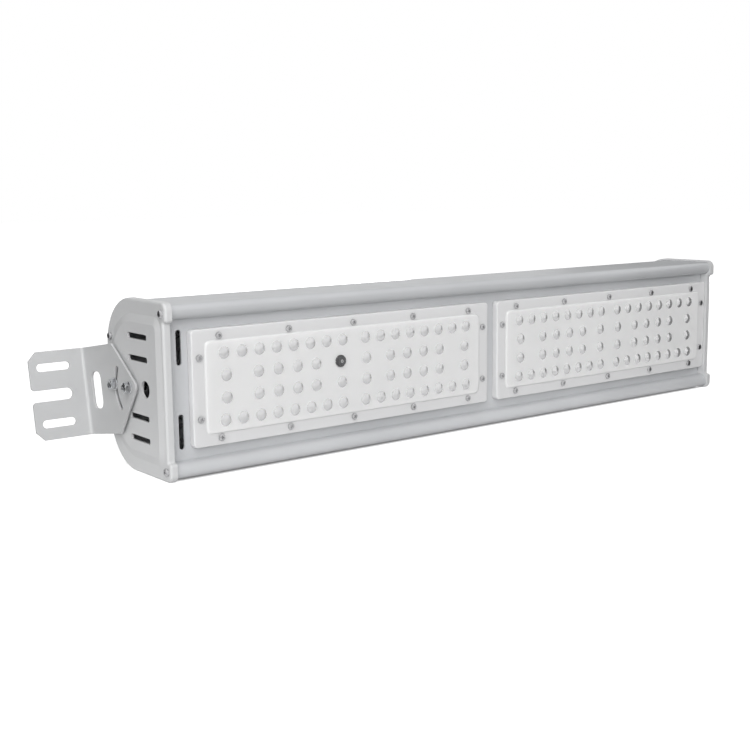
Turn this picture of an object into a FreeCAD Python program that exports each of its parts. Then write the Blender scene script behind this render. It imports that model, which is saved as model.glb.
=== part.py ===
"""Linear high bay light.

A closed aluminium extrusion carries two lens modules on the web of its front. Two cast end caps close it,
and each cap carries a bent sheet bracket that tilts on a pivot bolt and is held by a bolt in an arc slot.

Millimetres. X runs along the light, the lenses face -Y, +Z is up. The light stands on the lower side of its
end caps, and the origin is under the middle of its overall box. Every piece is drawn from one datum: the
front of the lens plates at mid-height.
"""
import FreeCAD
import Part
import Sketcher
import math
import os

Vector = FreeCAD.Vector
UP = Vector(0, 0, 1)
FRONT = Vector(0, -1, 0)

SIZES = (
    ("half_length", 305.0, "half of the length over the rims of the two end caps"),
    ("lens_face", -56.8, "datum: front of the lens plates, from the middle of the overall depth"),
    ("mid_height", 63.7, "datum: mid-height, above the surface that the caps stand on"),
    # end cap
    ("cap_half", 63.7, "half height of the cap"),
    ("cap_front", -5.8, "front of the cap's ears, from the datum"),
    ("cap_middle", -1.8, "front of the cap between its ears"),
    ("cap_rear", 87.0, "rear of the cap"),
    ("cap_rear_radius", 39.0, "large rear corners"),
    ("cap_front_radius", 6.0, "front corners"),
    ("ear_root", 49.5, "half height at which the ears begin"),
    ("ear_tip_radius", 2.4, "rounding of an ear's inner corner"),
    ("ear_root_radius", 1.4, "rounding between an ear and the middle"),
    ("cap_edge", 2.0, "rounded outer edge of the cap"),
    ("cap_face", 2.5, "thickness of the cap's face"),
    ("cap_lap", 3.1, "how far its rim laps over the housing"),
    ("fit_gap", 0.2, "clearance between rim and housing"),
    ("panel_front", 1.0, "foot of the raised panel, front"),
    ("panel_rear", 80.0, "foot of the raised panel, rear"),
    ("panel_half", 53.0, "foot of the raised panel, half height"),
    ("panel_front_radius", 10.0, "front corners of the panel's foot"),
    ("panel_rear_radius", 36.5, "rear corners of the panel's foot"),
    ("panel_slope", 6.0, "width of the panel's sloping edge"),
    ("panel_rise", 1.6, "height of the raised panel"),
    ("panel_wall", 1.8, "wall of the raised panel, which is hollow behind"),
    ("bolt_boss", 7.0, "bosses of full thickness round the bracket's bolts"),
    ("vent_front", 20.0, "front end of a vent slot"),
    ("vent_rear", 49.2, "rear end of a vent slot"),
    ("vent_inner", 21.2, "inner vent slots, from mid-height"),
    ("vent_outer", 37.2, "outer vent slots, from mid-height"),
    ("vent_half", 2.1, "half width of a vent slot"),
    ("vent_corner", 1.3, "corner radius of a vent slot"),
    ("cable_back", 24.3, "cable hole, from the datum"),
    ("cable_radius", 6.3, "cable hole"),
    # cap screws and the ports that they go into
    ("front_port_back", -0.6, "front screw ports, from the datum"),
    ("front_port_half", 55.6, "front screw ports, from mid-height"),
    ("rear_port_back", 79.4, "rear screw ports, from the datum"),
    ("rear_port_half", 33.3, "rear screw ports, from mid-height"),
    ("port_hole", 1.6, "hole of a screw port"),
    ("port_boss", 3.0, "boss of a rear screw port"),
    ("cap_screw_hole", 1.75, "screw hole in the cap"),
    ("cap_screw_shank", 1.5, "cap screw"),
    ("cap_screw_length", 16.0, "cap screw, under its head"),
    ("cap_screw_head", 2.9, "pan head radius"),
    ("cap_screw_rise", 2.1, "pan head height"),
    ("head_edge", 0.7, "chamfer of a pan head"),
    # housing
    ("shell_half", 61.7, "half height of the housing"),
    ("nose_front", -3.8, "front of the rails"),
    ("shell_rear", 85.0, "rear of the housing"),
    ("shell_rear_radius", 37.0, "large rear corners"),
    ("nose_radius", 4.0, "front corner of a rail"),
    ("lip_half", 50.5, "inner edge of a rail, from mid-height"),
    ("lip_radius", 7.0, "rounding of a rail's inner edge"),
    ("web_front", 6.5, "front of the web, from the datum"),
    ("web_rear", 10.0, "rear of the web"),
    ("nose_rear", 3.5, "rear of the solid part of a rail"),
    ("cavity_half", 59.5, "half height of the hollow"),
    ("cavity_lip", 52.7, "half height of the hollow behind the web"),
    ("cavity_rear", 82.8, "rear of the hollow"),
    ("cavity_radius", 34.8, "rear corners of the hollow"),
    ("fin_first", 5.5, "first cooling fin, from mid-height"),
    ("fin_pitch", 11.0, "cooling fins"),
    ("fin_half", 0.9, "half thickness of a fin"),
    ("fin_tip", 18.0, "tip of the fins, from the datum"),
    ("tray_rail_half", 25.0, "inner side of the tray rails"),
    ("tray_rail_wall", 2.0, "thickness of a tray rail"),
    ("tray_rail_front", 77.3, "front of the tray rails"),
    ("tray_lip_rear", 78.8, "rear of the lips that hold the tray"),
    ("tray_lip_half", 22.5, "edge of the lips"),
    ("merge", 0.5, "how far a rib runs into the wall that carries it"),
    ("strip_slot_end", 16.2, "slots in the bare strip of the web, from the end of the light"),
    ("strip_slot_mid", 30.2, "centre of a strip slot, from mid-height"),
    ("strip_slot_half", 12.7, "half length of a strip slot"),
    ("strip_slot_radius", 2.1, "half width of a strip slot"),
    ("strip_wall", 1.5, "wall that is left at the strip slots"),
    ("strip_relief", 21.0, "length of the relief behind the slots, from the end of the light"),
    ("strip_relief_half", 46.0, "half height of the relief"),
    ("web_cut", 12.0, "depth of the cuts through web and fins"),
    ("lead_hole", 4.0, "hole for a board's lead"),
    # lens modules
    ("module_first", -139.5, "centre of the left module"),
    ("module_pitch", 296.0, "from module to module"),
    ("plate_half_length", 142.5, "half length of a lens plate"),
    ("plate_half", 42.5, "half height of a lens plate"),
    ("plate_corner", 3.0, "corner radius of a lens plate"),
    ("plate_front", 0.6, "front of the plate's screw flange"),
    ("field_half_length", 132.5, "raised field"),
    ("field_half", 34.0, "raised field"),
    ("field_corner", 4.0, "raised field"),
    ("field_rise", 1.0, "raised field"),
    ("field_draft", 45.0, "slope of the field's edge, in degrees"),
    ("lens_base", 4.6, "radius of a lens at its foot"),
    ("lens_rise", 1.8, "height of a lens"),
    ("lens_draft", 43.0, "slope of a lens, in degrees"),
    ("outer_row", 24.5, "outer rows of lenses, from mid-height"),
    ("inner_row", 8.2, "inner rows of lenses, from mid-height"),
    ("outer_first", 11.0, "first lens of an outer row, from the module's centre"),
    ("outer_pitch", 15.1, "lenses of an outer row"),
    ("inner_first", 12.0, "first lens of an inner row"),
    ("inner_group", 36.0, "first lens of the group of four in an inner row"),
    ("inner_pitch", 17.2, "lenses of the group of four"),
    ("inner_last", 115.0, "last lens of an inner row"),
    ("pocket_half_length", 129.0, "pocket for the board, in the plate's back"),
    ("pocket_half", 31.0, "pocket for the board"),
    ("pocket_floor", 1.6, "floor of the pocket, from the datum"),
    ("groove_inner_length", 129.8, "seal groove, inside"),
    ("groove_inner", 31.8, "seal groove, inside"),
    ("groove_outer_length", 132.8, "seal groove, outside"),
    ("groove_outer", 34.8, "seal groove, outside"),
    ("groove_floor", 4.8, "floor of the seal groove, from the datum"),
    ("seal_gap", 0.1, "seal in its groove, each side"),
    ("lens_screw_row", 37.0, "long rows of lens screws, from mid-height"),
    ("lens_screw_pitch", 60.0, "long rows of lens screws"),
    ("lens_screw_side", 136.5, "end pairs of lens screws, from the module's centre"),
    ("lens_screw_pair", 22.1, "end pairs of lens screws, from mid-height"),
    ("lens_screw_hole", 1.65, "screw hole in the plate"),
    ("lens_screw_tap", 1.5, "screw hole in the web"),
    ("lens_screw_shank", 1.45, "lens screw"),
    ("lens_screw_length", 9.0, "lens screw, under its head"),
    ("lens_screw_head", 2.6, "pan head radius"),
    ("lens_screw_rise", 1.3, "pan head height"),
    ("board_half_length", 128.5, "LED board"),
    ("board_half", 30.5, "LED board"),
    ("board_front", 4.9, "front of the LED board, from the datum"),
    ("chip_half", 1.5, "half width of an LED chip"),
    ("chip_rise", 0.8, "height of an LED chip"),
    ("connector_out", -3.0, "centre of the board's connector, along the module"),
    ("connector_half_length", 6.0, "connector"),
    ("connector_half", 9.3, "connector"),
    ("connector_rise", 2.6, "connector"),
    ("connector_step", 1.0, "step round the connector's top"),
    ("board_lead_hole", 2.6, "hole for the lead in the board"),
    ("plug_out", -13.5, "breather plug, from the module's centre"),
    ("plug_head", 4.7, "breather plug"),
    ("plug_rise", 2.6, "breather plug, over the field"),
    ("plug_cap", 3.4, "raised cap of the breather plug"),
    ("plug_step", 1.2, "height of the plug's flange"),
    ("plug_stem", 2.9, "stem of the breather plug"),
    ("plug_stem_length", 3.0, "stem of the breather plug"),
    ("plug_hole", 3.0, "hole for the breather plug"),
    # driver, inside the housing
    ("driver_mid", 8.0, "centre of the driver, along the light"),
    ("tray_half_length", 190.0, "driver tray"),
    ("tray_rear", 80.8, "rear of the driver tray"),
    ("driver_half_length", 110.0, "driver case"),
    ("driver_half", 21.0, "driver case"),
    ("driver_front", 43.0, "driver case"),
    ("driver_edge", 2.0, "rounded long edges of the driver case"),
    ("driver_foot", 14.0, "length of a driver foot"),
    ("driver_foot_front", 77.0, "front of a driver foot"),
    ("driver_screw_half", 14.0, "driver screws, from mid-height"),
    ("driver_screw_out", 118.0, "driver screws, from the driver's centre"),
    ("driver_screw_hole", 2.1, "screw hole in foot and tray"),
    ("driver_screw_shank", 2.0, "driver screw"),
    ("driver_screw_length", 4.0, "driver screw, under its head"),
    ("driver_screw_head", 3.6, "driver screw"),
    ("driver_screw_rise", 2.2, "driver screw"),
    ("lead_radius", 1.9, "a board's lead"),
    ("lead_back", 57.0, "where the leads leave the driver, from the datum"),
    ("lead_bend", 24.0, "bend of a lead"),
    ("mains_lead_back", 65.0, "mains lead, from the datum"),
    ("mains_lead_radius", 2.6, "mains lead"),
    ("terminal_out", -158.0, "centre of the mains terminal, along the light"),
    ("terminal_half_length", 9.0, "mains terminal"),
    ("terminal_half", 18.0, "mains terminal"),
    ("terminal_front", 59.0, "mains terminal"),
    ("terminal_step", 71.0, "shoulder of the mains terminal"),
    ("terminal_neck", 5.5, "half length of the terminal's upper part"),
    ("terminal_pitch", 11.0, "from pole to pole"),
    ("terminal_well", 2.6, "radius of a screw well"),
    ("terminal_well_depth", 6.0, "screw well"),
    # bracket, drawn from its pivot
    ("pivot_back", 41.0, "pivot bolt, from the datum"),
    ("lock_radius", 22.5, "lock bolt, from the pivot"),
    ("bracket_tilt", -9.3, "tilt of the brackets at rest, in degrees about +X"),
    ("sheet", 2.0, "thickness of the bracket"),
    ("bracket_half", 33.3, "half height of the bracket"),
    ("bracket_rear", 74.0, "rear of the bracket, from the pivot"),
    ("bend_outer", 4.5, "outside of the bend"),
    ("arm_shoulder", 23.0, "where the arm begins to taper"),
    ("arm_tip", 9.0, "tip of the arm, ahead of the pivot"),
    ("arm_tip_radius", 4.5, "rounded tip"),
    ("pivot_hole", 2.08, "pivot hole, running on the bolt"),
    ("arc_slot_half", 2.3, "half width of the arc slot"),
    ("arc_slot_reach", 38.0, "arc slot to each side of the arm's centre line, in degrees"),
    ("hook_slot_back", 55.0, "slot for a hook, from the pivot"),
    ("hook_slot_wide", 7.8, "half width of the hook slot"),
    ("hook_slot_half", 13.9, "half height of the hook slot"),
    ("hook_slot_corner", 5.5, "corner radius of the hook slot"),
    ("mount_reach", 46.0, "outer edge of the mounting plate, from the arm's inner face"),
    ("mount_chamfer", 6.5, "cut corners of the mounting plate"),
    ("mount_slot_row", 21.2, "closed slots, from the bracket's centre line"),
    ("mount_slot_mid", 27.0, "middle of the closed slots, from the arm's inner face"),
    ("mount_slot_half", 13.1, "half length of the closed slots"),
    ("mount_slot_radius", 3.0, "half width of the closed slots"),
    ("open_slot_end", 18.3, "centre of the open slot's round end, from the arm's inner face"),
    ("open_slot_radius", 4.3, "half width of the open slot"),
    ("open_slot_mouth", 3.0, "rounded corners of the open slot's mouth"),
    # bracket hardware, along the bolts
    ("spacer_thick", 1.6, "spacer washer between panel and arm"),
    ("running_gap", 0.3, "play on each side of the arm"),
    ("washer_outer", 4.5, "flat and spacer washers"),
    ("washer_inner", 2.15, "washer hole"),
    ("washer_thick", 0.9, "flat washer"),
    ("spring_outer", 3.8, "spring washer"),
    ("spring_thick", 1.1, "spring washer"),
    ("bolt_shank", 2.0, "bolt"),
    ("bolt_corner", 4.0, "hexagon head, over its corners"),
    ("bolt_rise", 2.8, "hexagon head"),
    ("bolt_length", 15.0, "bolt, under its head"),
    ("bolt_hole", 2.2, "bolt hole in the cap"),
    ("nut_corner", 4.6, "clinch nut, over its corners"),
    ("nut_thick", 4.0, "clinch nut"),
    ("nut_hole", 2.05, "clinch nut"),
)

doc = FreeCAD.newDocument("linear_high_bay_light")
sheet = doc.addObject("Spreadsheet::Sheet", "sizes")
for row, (alias, number, note) in enumerate(SIZES, start=1):
    sheet.set(f"A{row}", note)
    sheet.set(f"B{row}", str(number))
    sheet.setAlias(f"B{row}", alias)
doc.recompute()

nodes = []


# Sums of sheet cells, written once and used both as numbers and as bound expressions
def terms(text):
    """Splits a signed sum such as "cap_half - fit_gap" into (sign, alias) pairs."""
    sign = 1
    for word in text.split():
        if word in "+-":
            sign = 1 if word == "+" else -1
        else:
            yield sign, word
            sign = 1


def value(text):
    """The number of a sum. None stands for zero."""
    return sum(sign * sheet.get(alias) for sign, alias in terms(text or ""))


def expression(text):
    return " ".join(("+" if sign > 0 else "-") + "sizes." + alias for sign, alias in terms(text))


def turned_over(text, sign):
    """The same sum, with every sign changed if sign is negative."""
    return " ".join(("+ " if sign * part > 0 else "- ") + alias for part, alias in terms(text))


def steps(first, pitch, count):
    return first + f" + {pitch}" * count


# Objects of the document: bodies, sketches and features
def bind(item, path, text):
    item.setExpression(path, expression(text))


def place(item, x=None, y="lens_face", z="mid_height"):
    """Binds an object's place. x, y and z are sums of sheet cells in the light's own frame."""
    for axis, text in (("x", x), ("y", y), ("z", z)):
        if text:
            bind(item, f"Placement.Base.{axis}", text)


def new_body(label):
    body = doc.addObject("PartDesign::Body", label)
    body.Label = label
    return body


def new_sketch(body, name, plane, offset=None):
    sketch = body.newObject("Sketcher::SketchObject", f"{body.Label}_{name}")
    support = [item for item in body.Origin.OriginFeatures if item.Role == plane]
    sketch.AttachmentSupport = [(support[0], "")]
    sketch.MapMode = "FlatFace"
    if offset:
        bind(sketch, "AttachmentOffset.Base.z", offset)
    return sketch


def add_pad(body, sketch, length, backward=False, both=False, draft=None):
    feature = body.newObject("PartDesign::Pad", sketch.Name + "_pad")
    feature.Profile = sketch
    bind(feature, "Length", length)
    feature.Reversed = backward
    if both:
        feature.SideType = "Symmetric"
    if draft:
        bind(feature, "TaperAngle", draft)
    doc.recompute()
    return feature


def add_pocket(body, sketch, length=None, backward=False):
    """Cuts to a depth, or right through the body both ways where no depth is given."""
    before = body.Shape.Volume
    feature = body.newObject("PartDesign::Pocket", sketch.Name + "_pocket")
    feature.Profile = sketch
    if length:
        bind(feature, "Length", length)
        feature.Reversed = backward
    else:
        feature.Type = "ThroughAll"
        feature.SideType = "Symmetric"
    doc.recompute()
    if not body.Shape.Volume < before:
        raise RuntimeError(f"{feature.Name} cuts nothing")
    return feature


def keep(item):
    """Marks an object as a piece of the light, written under its label."""
    nodes.append(item)
    return item


# Sketch outlines
def constrain(sketch, kind, *values):
    return sketch.addConstraint(Sketcher.Constraint(kind, *values))


def constrain_to(sketch, kind, text, *where):
    index = constrain(sketch, kind, *where, value(text))
    bind(sketch, f"Constraints[{index}]", text)


def hold(sketch, side, text, line, point):
    """Holds a point of a line at a sum along x or y, or on the axis where the sum is None."""
    if text:
        constrain_to(sketch, "DistanceX" if side == "x" else "DistanceY", text, -1, 1, line, point)
    else:
        constrain(sketch, "PointOnObject", line, point, -2 if side == "x" else -1)


def arc_between(centre, start, end):
    """An arc that runs counterclockwise from start to end."""
    radius = (start - centre).Length
    first = math.atan2(start.y - centre.y, start.x - centre.x)
    last = math.atan2(end.y - centre.y, end.x - centre.x)
    if last <= first:
        last += 2 * math.pi
    return Part.ArcOfCircle(Part.Circle(centre, UP, radius), first, last)


def outline(sketch, edges, radii=None):
    """A closed outline of upright and level lines, with rounded corners.

    edges are ("x", sum) for an upright line and ("y", sum) for a level one, in turn. radii are the sums for
    the corners, the first between the first two edges, and None is a sharp corner.
    """
    count = len(edges)
    radii = radii or [None] * count
    at = [value(text) for side, text in edges]
    corners = []
    for i in range(count):
        j = (i + 1) % count
        corners.append(Vector(at[i], at[j]) if edges[i][0] == "x" else Vector(at[j], at[i]))
    ways = [(corners[i] - corners[i - 1]).normalize() for i in range(count)]
    rounds = [value(text) if text else 0.0 for text in radii]
    lines = []
    for i in range(count):
        start = corners[i - 1] + ways[i] * rounds[i - 1]
        end = corners[i] - ways[i] * rounds[i]
        line = sketch.addGeometry(Part.LineSegment(start, end), False)
        side, text = edges[i]
        constrain(sketch, "Vertical" if side == "x" else "Horizontal", line)
        hold(sketch, side, text, line, 1)
        lines.append(line)
    for i in range(count):
        j = (i + 1) % count
        if not radii[i]:
            constrain(sketch, "Coincident", lines[i], 2, lines[j], 1)
            continue
        before = corners[i] - ways[i] * rounds[i]
        after = corners[i] + ways[j] * rounds[i]
        centre = before + ways[j] * rounds[i]
        left_turn = ways[i].cross(ways[j]).z > 0
        ends = (before, after) if left_turn else (after, before)
        arc = sketch.addGeometry(arc_between(centre, *ends), False)
        constrain(sketch, "Tangent", lines[i], 2, arc, 1 if left_turn else 2)
        constrain(sketch, "Tangent", arc, 2 if left_turn else 1, lines[j], 1)
        constrain_to(sketch, "Radius", radii[i], arc)


def box_outline(sketch, low_x, high_x, low_y, high_y, radius=None):
    edges = [("x", low_x), ("y", high_y), ("x", high_x), ("y", low_y)]
    outline(sketch, edges, [radius] * len(edges))


def centred_outline(sketch, half_x, half_y, radius=None):
    box_outline(sketch, "- " + half_x, half_x, "- " + half_y, half_y, radius)


def circles(sketch, centres, radius):
    """Circles of one radius at (x, y) sums."""
    first = None
    for x, y in centres:
        ring = sketch.addGeometry(Part.Circle(Vector(value(x), value(y)), UP, value(radius)), False)
        hold(sketch, "x", x, ring, 3)
        hold(sketch, "y", y, ring, 3)
        if first is None:
            first = ring
            constrain_to(sketch, "Radius", radius, ring)
        else:
            constrain(sketch, "Equal", first, ring)


def round_slot(sketch, low, high, middle, radius, upright=False):
    """A slot with round ends. low and high are the sums for the centres of its ends."""
    def at(along, across):
        return Vector(across, along) if upright else Vector(along, across)
    across = value(middle)
    reach = value(radius)
    ends = [at(value(low), across), at(value(high), across)]
    side = at(0, reach)
    flip = -1 if upright else 1
    first = sketch.addGeometry(arc_between(ends[0], ends[0] + side * flip, ends[0] - side * flip), False)
    last = sketch.addGeometry(arc_between(ends[1], ends[1] - side * flip, ends[1] + side * flip), False)
    near = sketch.addGeometry(Part.LineSegment(ends[0] - side * flip, ends[1] - side * flip), False)
    far = sketch.addGeometry(Part.LineSegment(ends[1] + side * flip, ends[0] + side * flip), False)
    for line, start, end in ((near, first, last), (far, last, first)):
        constrain(sketch, "Tangent", line, 1, start, 2)
        constrain(sketch, "Tangent", line, 2, end, 1)
    along_side, across_side = ("y", "x") if upright else ("x", "y")
    hold(sketch, along_side, low, first, 3)
    hold(sketch, along_side, high, last, 3)
    hold(sketch, across_side, middle, first, 3)
    constrain_to(sketch, "Radius", radius, first)


# Turned pieces and groups of like pieces
def turned(label, edges, radii=None):
    """A piece turned about its own Z axis. In its outline, x is the radius and y the height."""
    body = new_body(label)
    sketch = new_sketch(body, "profile", "XZ_Plane")
    outline(sketch, edges, radii)
    feature = body.newObject("PartDesign::Revolution", label + "_turned")
    feature.Profile = sketch
    feature.ReferenceAxis = (sketch, ["V_Axis"])
    doc.recompute()
    return body


def edges_in_plane(shape, axis, level):
    """Names of the edges that lie in the plane across the axis at that level."""
    near = 0.01
    names = []
    for number, line in enumerate(shape.Edges, start=1):
        box = line.BoundBox
        low = getattr(box, axis + "Min")
        high = getattr(box, axis + "Max")
        if abs(low - level) < near and abs(high - level) < near:
            names.append(f"Edge{number}")
    return names


def pan_screw(label, head, rise, shank, length):
    body = turned(label, [("x", None), ("y", rise), ("x", head), ("y", None), ("x", shank),
                          ("y", "- " + length)])
    whole = body.Tip
    rim = body.newObject("PartDesign::Chamfer", label + "_rim")
    rim.Base = (whole, edges_in_plane(whole.Shape, "Z", value(rise)))
    bind(rim, "Size", "head_edge")
    doc.recompute()
    return body


def washer(label, inner, outer, thick):
    return turned(label, [("x", inner), ("y", thick), ("x", outer), ("y", None)])


def primitive(kind, name, **sizes):
    item = doc.addObject(kind, name)
    for size, text in sizes.items():
        bind(item, size, text)
    return item


def combined(kind, label, base, tool):
    item = doc.addObject(kind, label)
    item.Base = base
    item.Tool = tool
    doc.recompute()
    return item


def group(label, pattern, outward, spots):
    """Copies of a pattern piece as one node. Each spot is (x, y, z) sums from the datum."""
    turn = FreeCAD.Rotation(UP, outward)
    copies = []
    for spot in spots:
        base = Vector(*[value(text) for text in spot])
        copy = pattern.Shape.copy()
        copy.Placement = FreeCAD.Placement(base, turn)
        copies.append(copy)
    item = doc.addObject("Part::Feature", label)
    item.Label = label
    item.Shape = Part.makeCompound(copies)
    place(item)
    return keep(item)


# Which side of the light, as a word for labels and as a sign along X
SIDES = (("left", -1), ("right", 1))
MODULES = (("left", "module_first"), ("right", "module_first + module_pitch"))


# End caps
def cap_outline(sketch):
    ends = ["cap_front_radius", "cap_rear_radius", "cap_rear_radius", "cap_front_radius"]
    step = ["ear_tip_radius", "ear_root_radius", "ear_root_radius", "ear_tip_radius"]
    outline(sketch, [("x", "cap_front"), ("y", "cap_half"), ("x", "cap_rear"), ("y", "- cap_half"),
                     ("x", "cap_front"), ("y", "- ear_root"), ("x", "cap_middle"), ("y", "ear_root")],
            ends + step)


def rim_inside(sketch):
    """The housing's outline with the clearance of the rim."""
    ends = ["nose_radius + fit_gap", "shell_rear_radius + fit_gap", "shell_rear_radius + fit_gap",
            "nose_radius + fit_gap"]
    outline(sketch, [("x", "nose_front - fit_gap"), ("y", "shell_half + fit_gap"),
                     ("x", "shell_rear + fit_gap"), ("y", "- shell_half - fit_gap"),
                     ("x", "nose_front - fit_gap"), ("y", "- lip_half + fit_gap"),
                     ("x", "web_front - fit_gap"), ("y", "lip_half - fit_gap")],
            ends + ["lip_radius", None, None, "lip_radius"])


def panel_outline(sketch, inset=None):
    more = f" + {inset}" if inset else ""
    less = f" - {inset}" if inset else ""
    front = "panel_front_radius" + less
    rear = "panel_rear_radius" + less
    half = "panel_half" + less
    outline(sketch, [("x", "panel_front" + more), ("y", half), ("x", "panel_rear" + less),
                     ("y", turned_over(half, -1))], [front, rear, rear, front])


def port_spots():
    for back, half in (("front_port_back", "front_port_half"), ("rear_port_back", "rear_port_half")):
        for sign in (-1, 1):
            yield back, turned_over(half, sign)


def end_cap(word, side):
    body = new_body(word + "_end_cap")
    inward_is_back = side > 0
    face = new_sketch(body, "face", "YZ_Plane")
    cap_outline(face)
    add_pad(body, face, "cap_face", backward=inward_is_back)
    rim = new_sketch(body, "rim", "YZ_Plane", turned_over("cap_face", -side))
    cap_outline(rim)
    rim_inside(rim)
    shell = add_pad(body, rim, "cap_lap", backward=inward_is_back)

    edge = body.newObject("PartDesign::Fillet", body.Label + "_edge")
    edge.Base = (shell, edges_in_plane(shell.Shape, "X", 0.0))
    bind(edge, "Radius", "cap_edge")
    doc.recompute()

    foot = new_sketch(body, "panel_foot", "YZ_Plane")
    panel_outline(foot)
    top = new_sketch(body, "panel_top", "YZ_Plane", turned_over("panel_rise", side))
    panel_outline(top, "panel_slope")
    panel = body.newObject("PartDesign::AdditiveLoft", body.Label + "_panel")
    panel.Profile = foot
    panel.Sections = [top]
    panel.Ruled = True
    doc.recompute()

    bolts = [("pivot_back", None), ("pivot_back + lock_radius", None)]
    hollow = new_sketch(body, "hollow", "YZ_Plane", turned_over("cap_face", -side))
    panel_outline(hollow, "panel_slope")
    circles(hollow, bolts, "bolt_boss")
    add_pocket(body, hollow, "cap_face + panel_rise - panel_wall", backward=side > 0)

    openings = new_sketch(body, "openings", "YZ_Plane")
    for middle in ("vent_inner", "vent_outer"):
        for sign in (-1, 1):
            low = turned_over(middle, sign) + " - vent_half"
            high = turned_over(middle, sign) + " + vent_half"
            box_outline(openings, "vent_front", "vent_rear", low, high, "vent_corner")
    if side < 0:
        circles(openings, [("cable_back", None)], "cable_radius")
    circles(openings, bolts, "bolt_hole")
    circles(openings, port_spots(), "cap_screw_hole")
    add_pocket(body, openings)
    place(body, x=turned_over("half_length", side))
    return keep(body)


for word, side in SIDES:
    end_cap(word, side)

cap_screw = pan_screw("cap_screw_pattern", "cap_screw_head", "cap_screw_rise", "cap_screw_shank",
                      "cap_screw_length")
for word, side in SIDES:
    end = turned_over("half_length", side)
    group(word + "_cap_screws", cap_screw, Vector(side, 0, 0), [(end, y, z) for y, z in port_spots()])


# Lenses and lens screws of a module, as (x, z) sums from its centre
def lens_spots(plugged):
    outer = [steps("outer_first", "outer_pitch", number) for number in range(8)]
    inner = ["inner_first"]
    inner += [steps("inner_group", "inner_pitch", number) for number in range(4)]
    inner += ["inner_last"]
    for row, places in (("outer_row", outer), ("inner_row", inner)):
        for across in places:
            for sign in (-1, 1):
                for upward in (-1, 1):
                    beside_plug = across == "inner_first" and sign < 0 < upward
                    if not (plugged and beside_plug):
                        yield turned_over(across, sign), turned_over(row, upward)


def lens_screw_spots():
    for upward in (-1, 1):
        row = turned_over("lens_screw_row", upward)
        yield None, row
        for sign in (-1, 1):
            yield turned_over("lens_screw_pitch", sign), row
            yield turned_over("lens_screw_pitch + lens_screw_pitch", sign), row
            yield turned_over("lens_screw_side", sign), turned_over("lens_screw_pair", upward)


def from_module(module, text):
    return f"{module} {text}" if text else module


# Housing
def housing():
    body = new_body("housing")
    whole = "half_length - cap_face + half_length - cap_face"
    profile = new_sketch(body, "profile", "YZ_Plane")
    outline(profile, [("x", "nose_front"), ("y", "shell_half"), ("x", "shell_rear"), ("y", "- shell_half"),
                      ("x", "nose_front"), ("y", "- lip_half"), ("x", "web_front"), ("y", "lip_half")],
            ["nose_radius", "shell_rear_radius", "shell_rear_radius", "nose_radius",
             "lip_radius", None, None, "lip_radius"])
    outline(profile, [("x", "nose_rear"), ("y", "cavity_half"), ("x", "cavity_rear"), ("y", "- cavity_half"),
                      ("x", "nose_rear"), ("y", "- cavity_lip"), ("x", "web_rear"), ("y", "cavity_lip")],
            [None, "cavity_radius", "cavity_radius", None, None, None, None, None])
    add_pad(body, profile, whole, both=True)

    ribs = new_sketch(body, "ribs", "YZ_Plane")
    for sign in (-1, 1):
        for number in range(4):
            middle = turned_over(steps("fin_first", "fin_pitch", number), sign)
            box_outline(ribs, "web_rear - merge", "fin_tip", middle + " - fin_half", middle + " + fin_half")
        outline(ribs, [("x", "tray_rail_front"), ("y", turned_over("tray_rail_half + tray_rail_wall", sign)),
                       ("x", "cavity_rear + merge"), ("y", turned_over("tray_rail_half", sign)),
                       ("x", "tray_lip_rear"), ("y", turned_over("tray_lip_half", sign))])
    rear_ports = [spot for spot in port_spots() if spot[0] == "rear_port_back"]
    circles(ribs, rear_ports, "port_boss")
    add_pad(body, ribs, whole, both=True)

    ports = new_sketch(body, "ports", "YZ_Plane")
    circles(ports, port_spots(), "port_hole")
    add_pocket(body, ports)

    relief = new_sketch(body, "strip_relief", "XZ_Plane", "- fin_tip")
    box_outline(relief, "- half_length", "- half_length + strip_relief", "- strip_relief_half",
                "strip_relief_half")
    add_pocket(body, relief, "fin_tip - web_front - strip_wall", backward=True)

    slots = new_sketch(body, "strip_slots", "XZ_Plane", "- web_front")
    across = "- half_length + strip_slot_end"
    for sign in (-1, 1):
        ends = [turned_over("strip_slot_mid - strip_slot_half + strip_slot_radius", sign),
                turned_over("strip_slot_mid + strip_slot_half - strip_slot_radius", sign)]
        low, high = sorted(ends, key=value)
        round_slot(slots, low, high, across, "strip_slot_radius", upright=True)
    lead_spots = [(from_module(module, "+ connector_out"), None) for word, module in MODULES]
    circles(slots, lead_spots, "lead_hole")
    add_pocket(body, slots, "web_cut")

    taps = new_sketch(body, "lens_screw_taps", "XZ_Plane", "- web_front")
    spots = [(from_module(module, x), z) for word, module in MODULES for x, z in lens_screw_spots()]
    circles(taps, spots, "lens_screw_tap")
    add_pocket(body, taps, "web_rear - web_front + merge")
    place(body)
    return keep(body)


housing()


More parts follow.
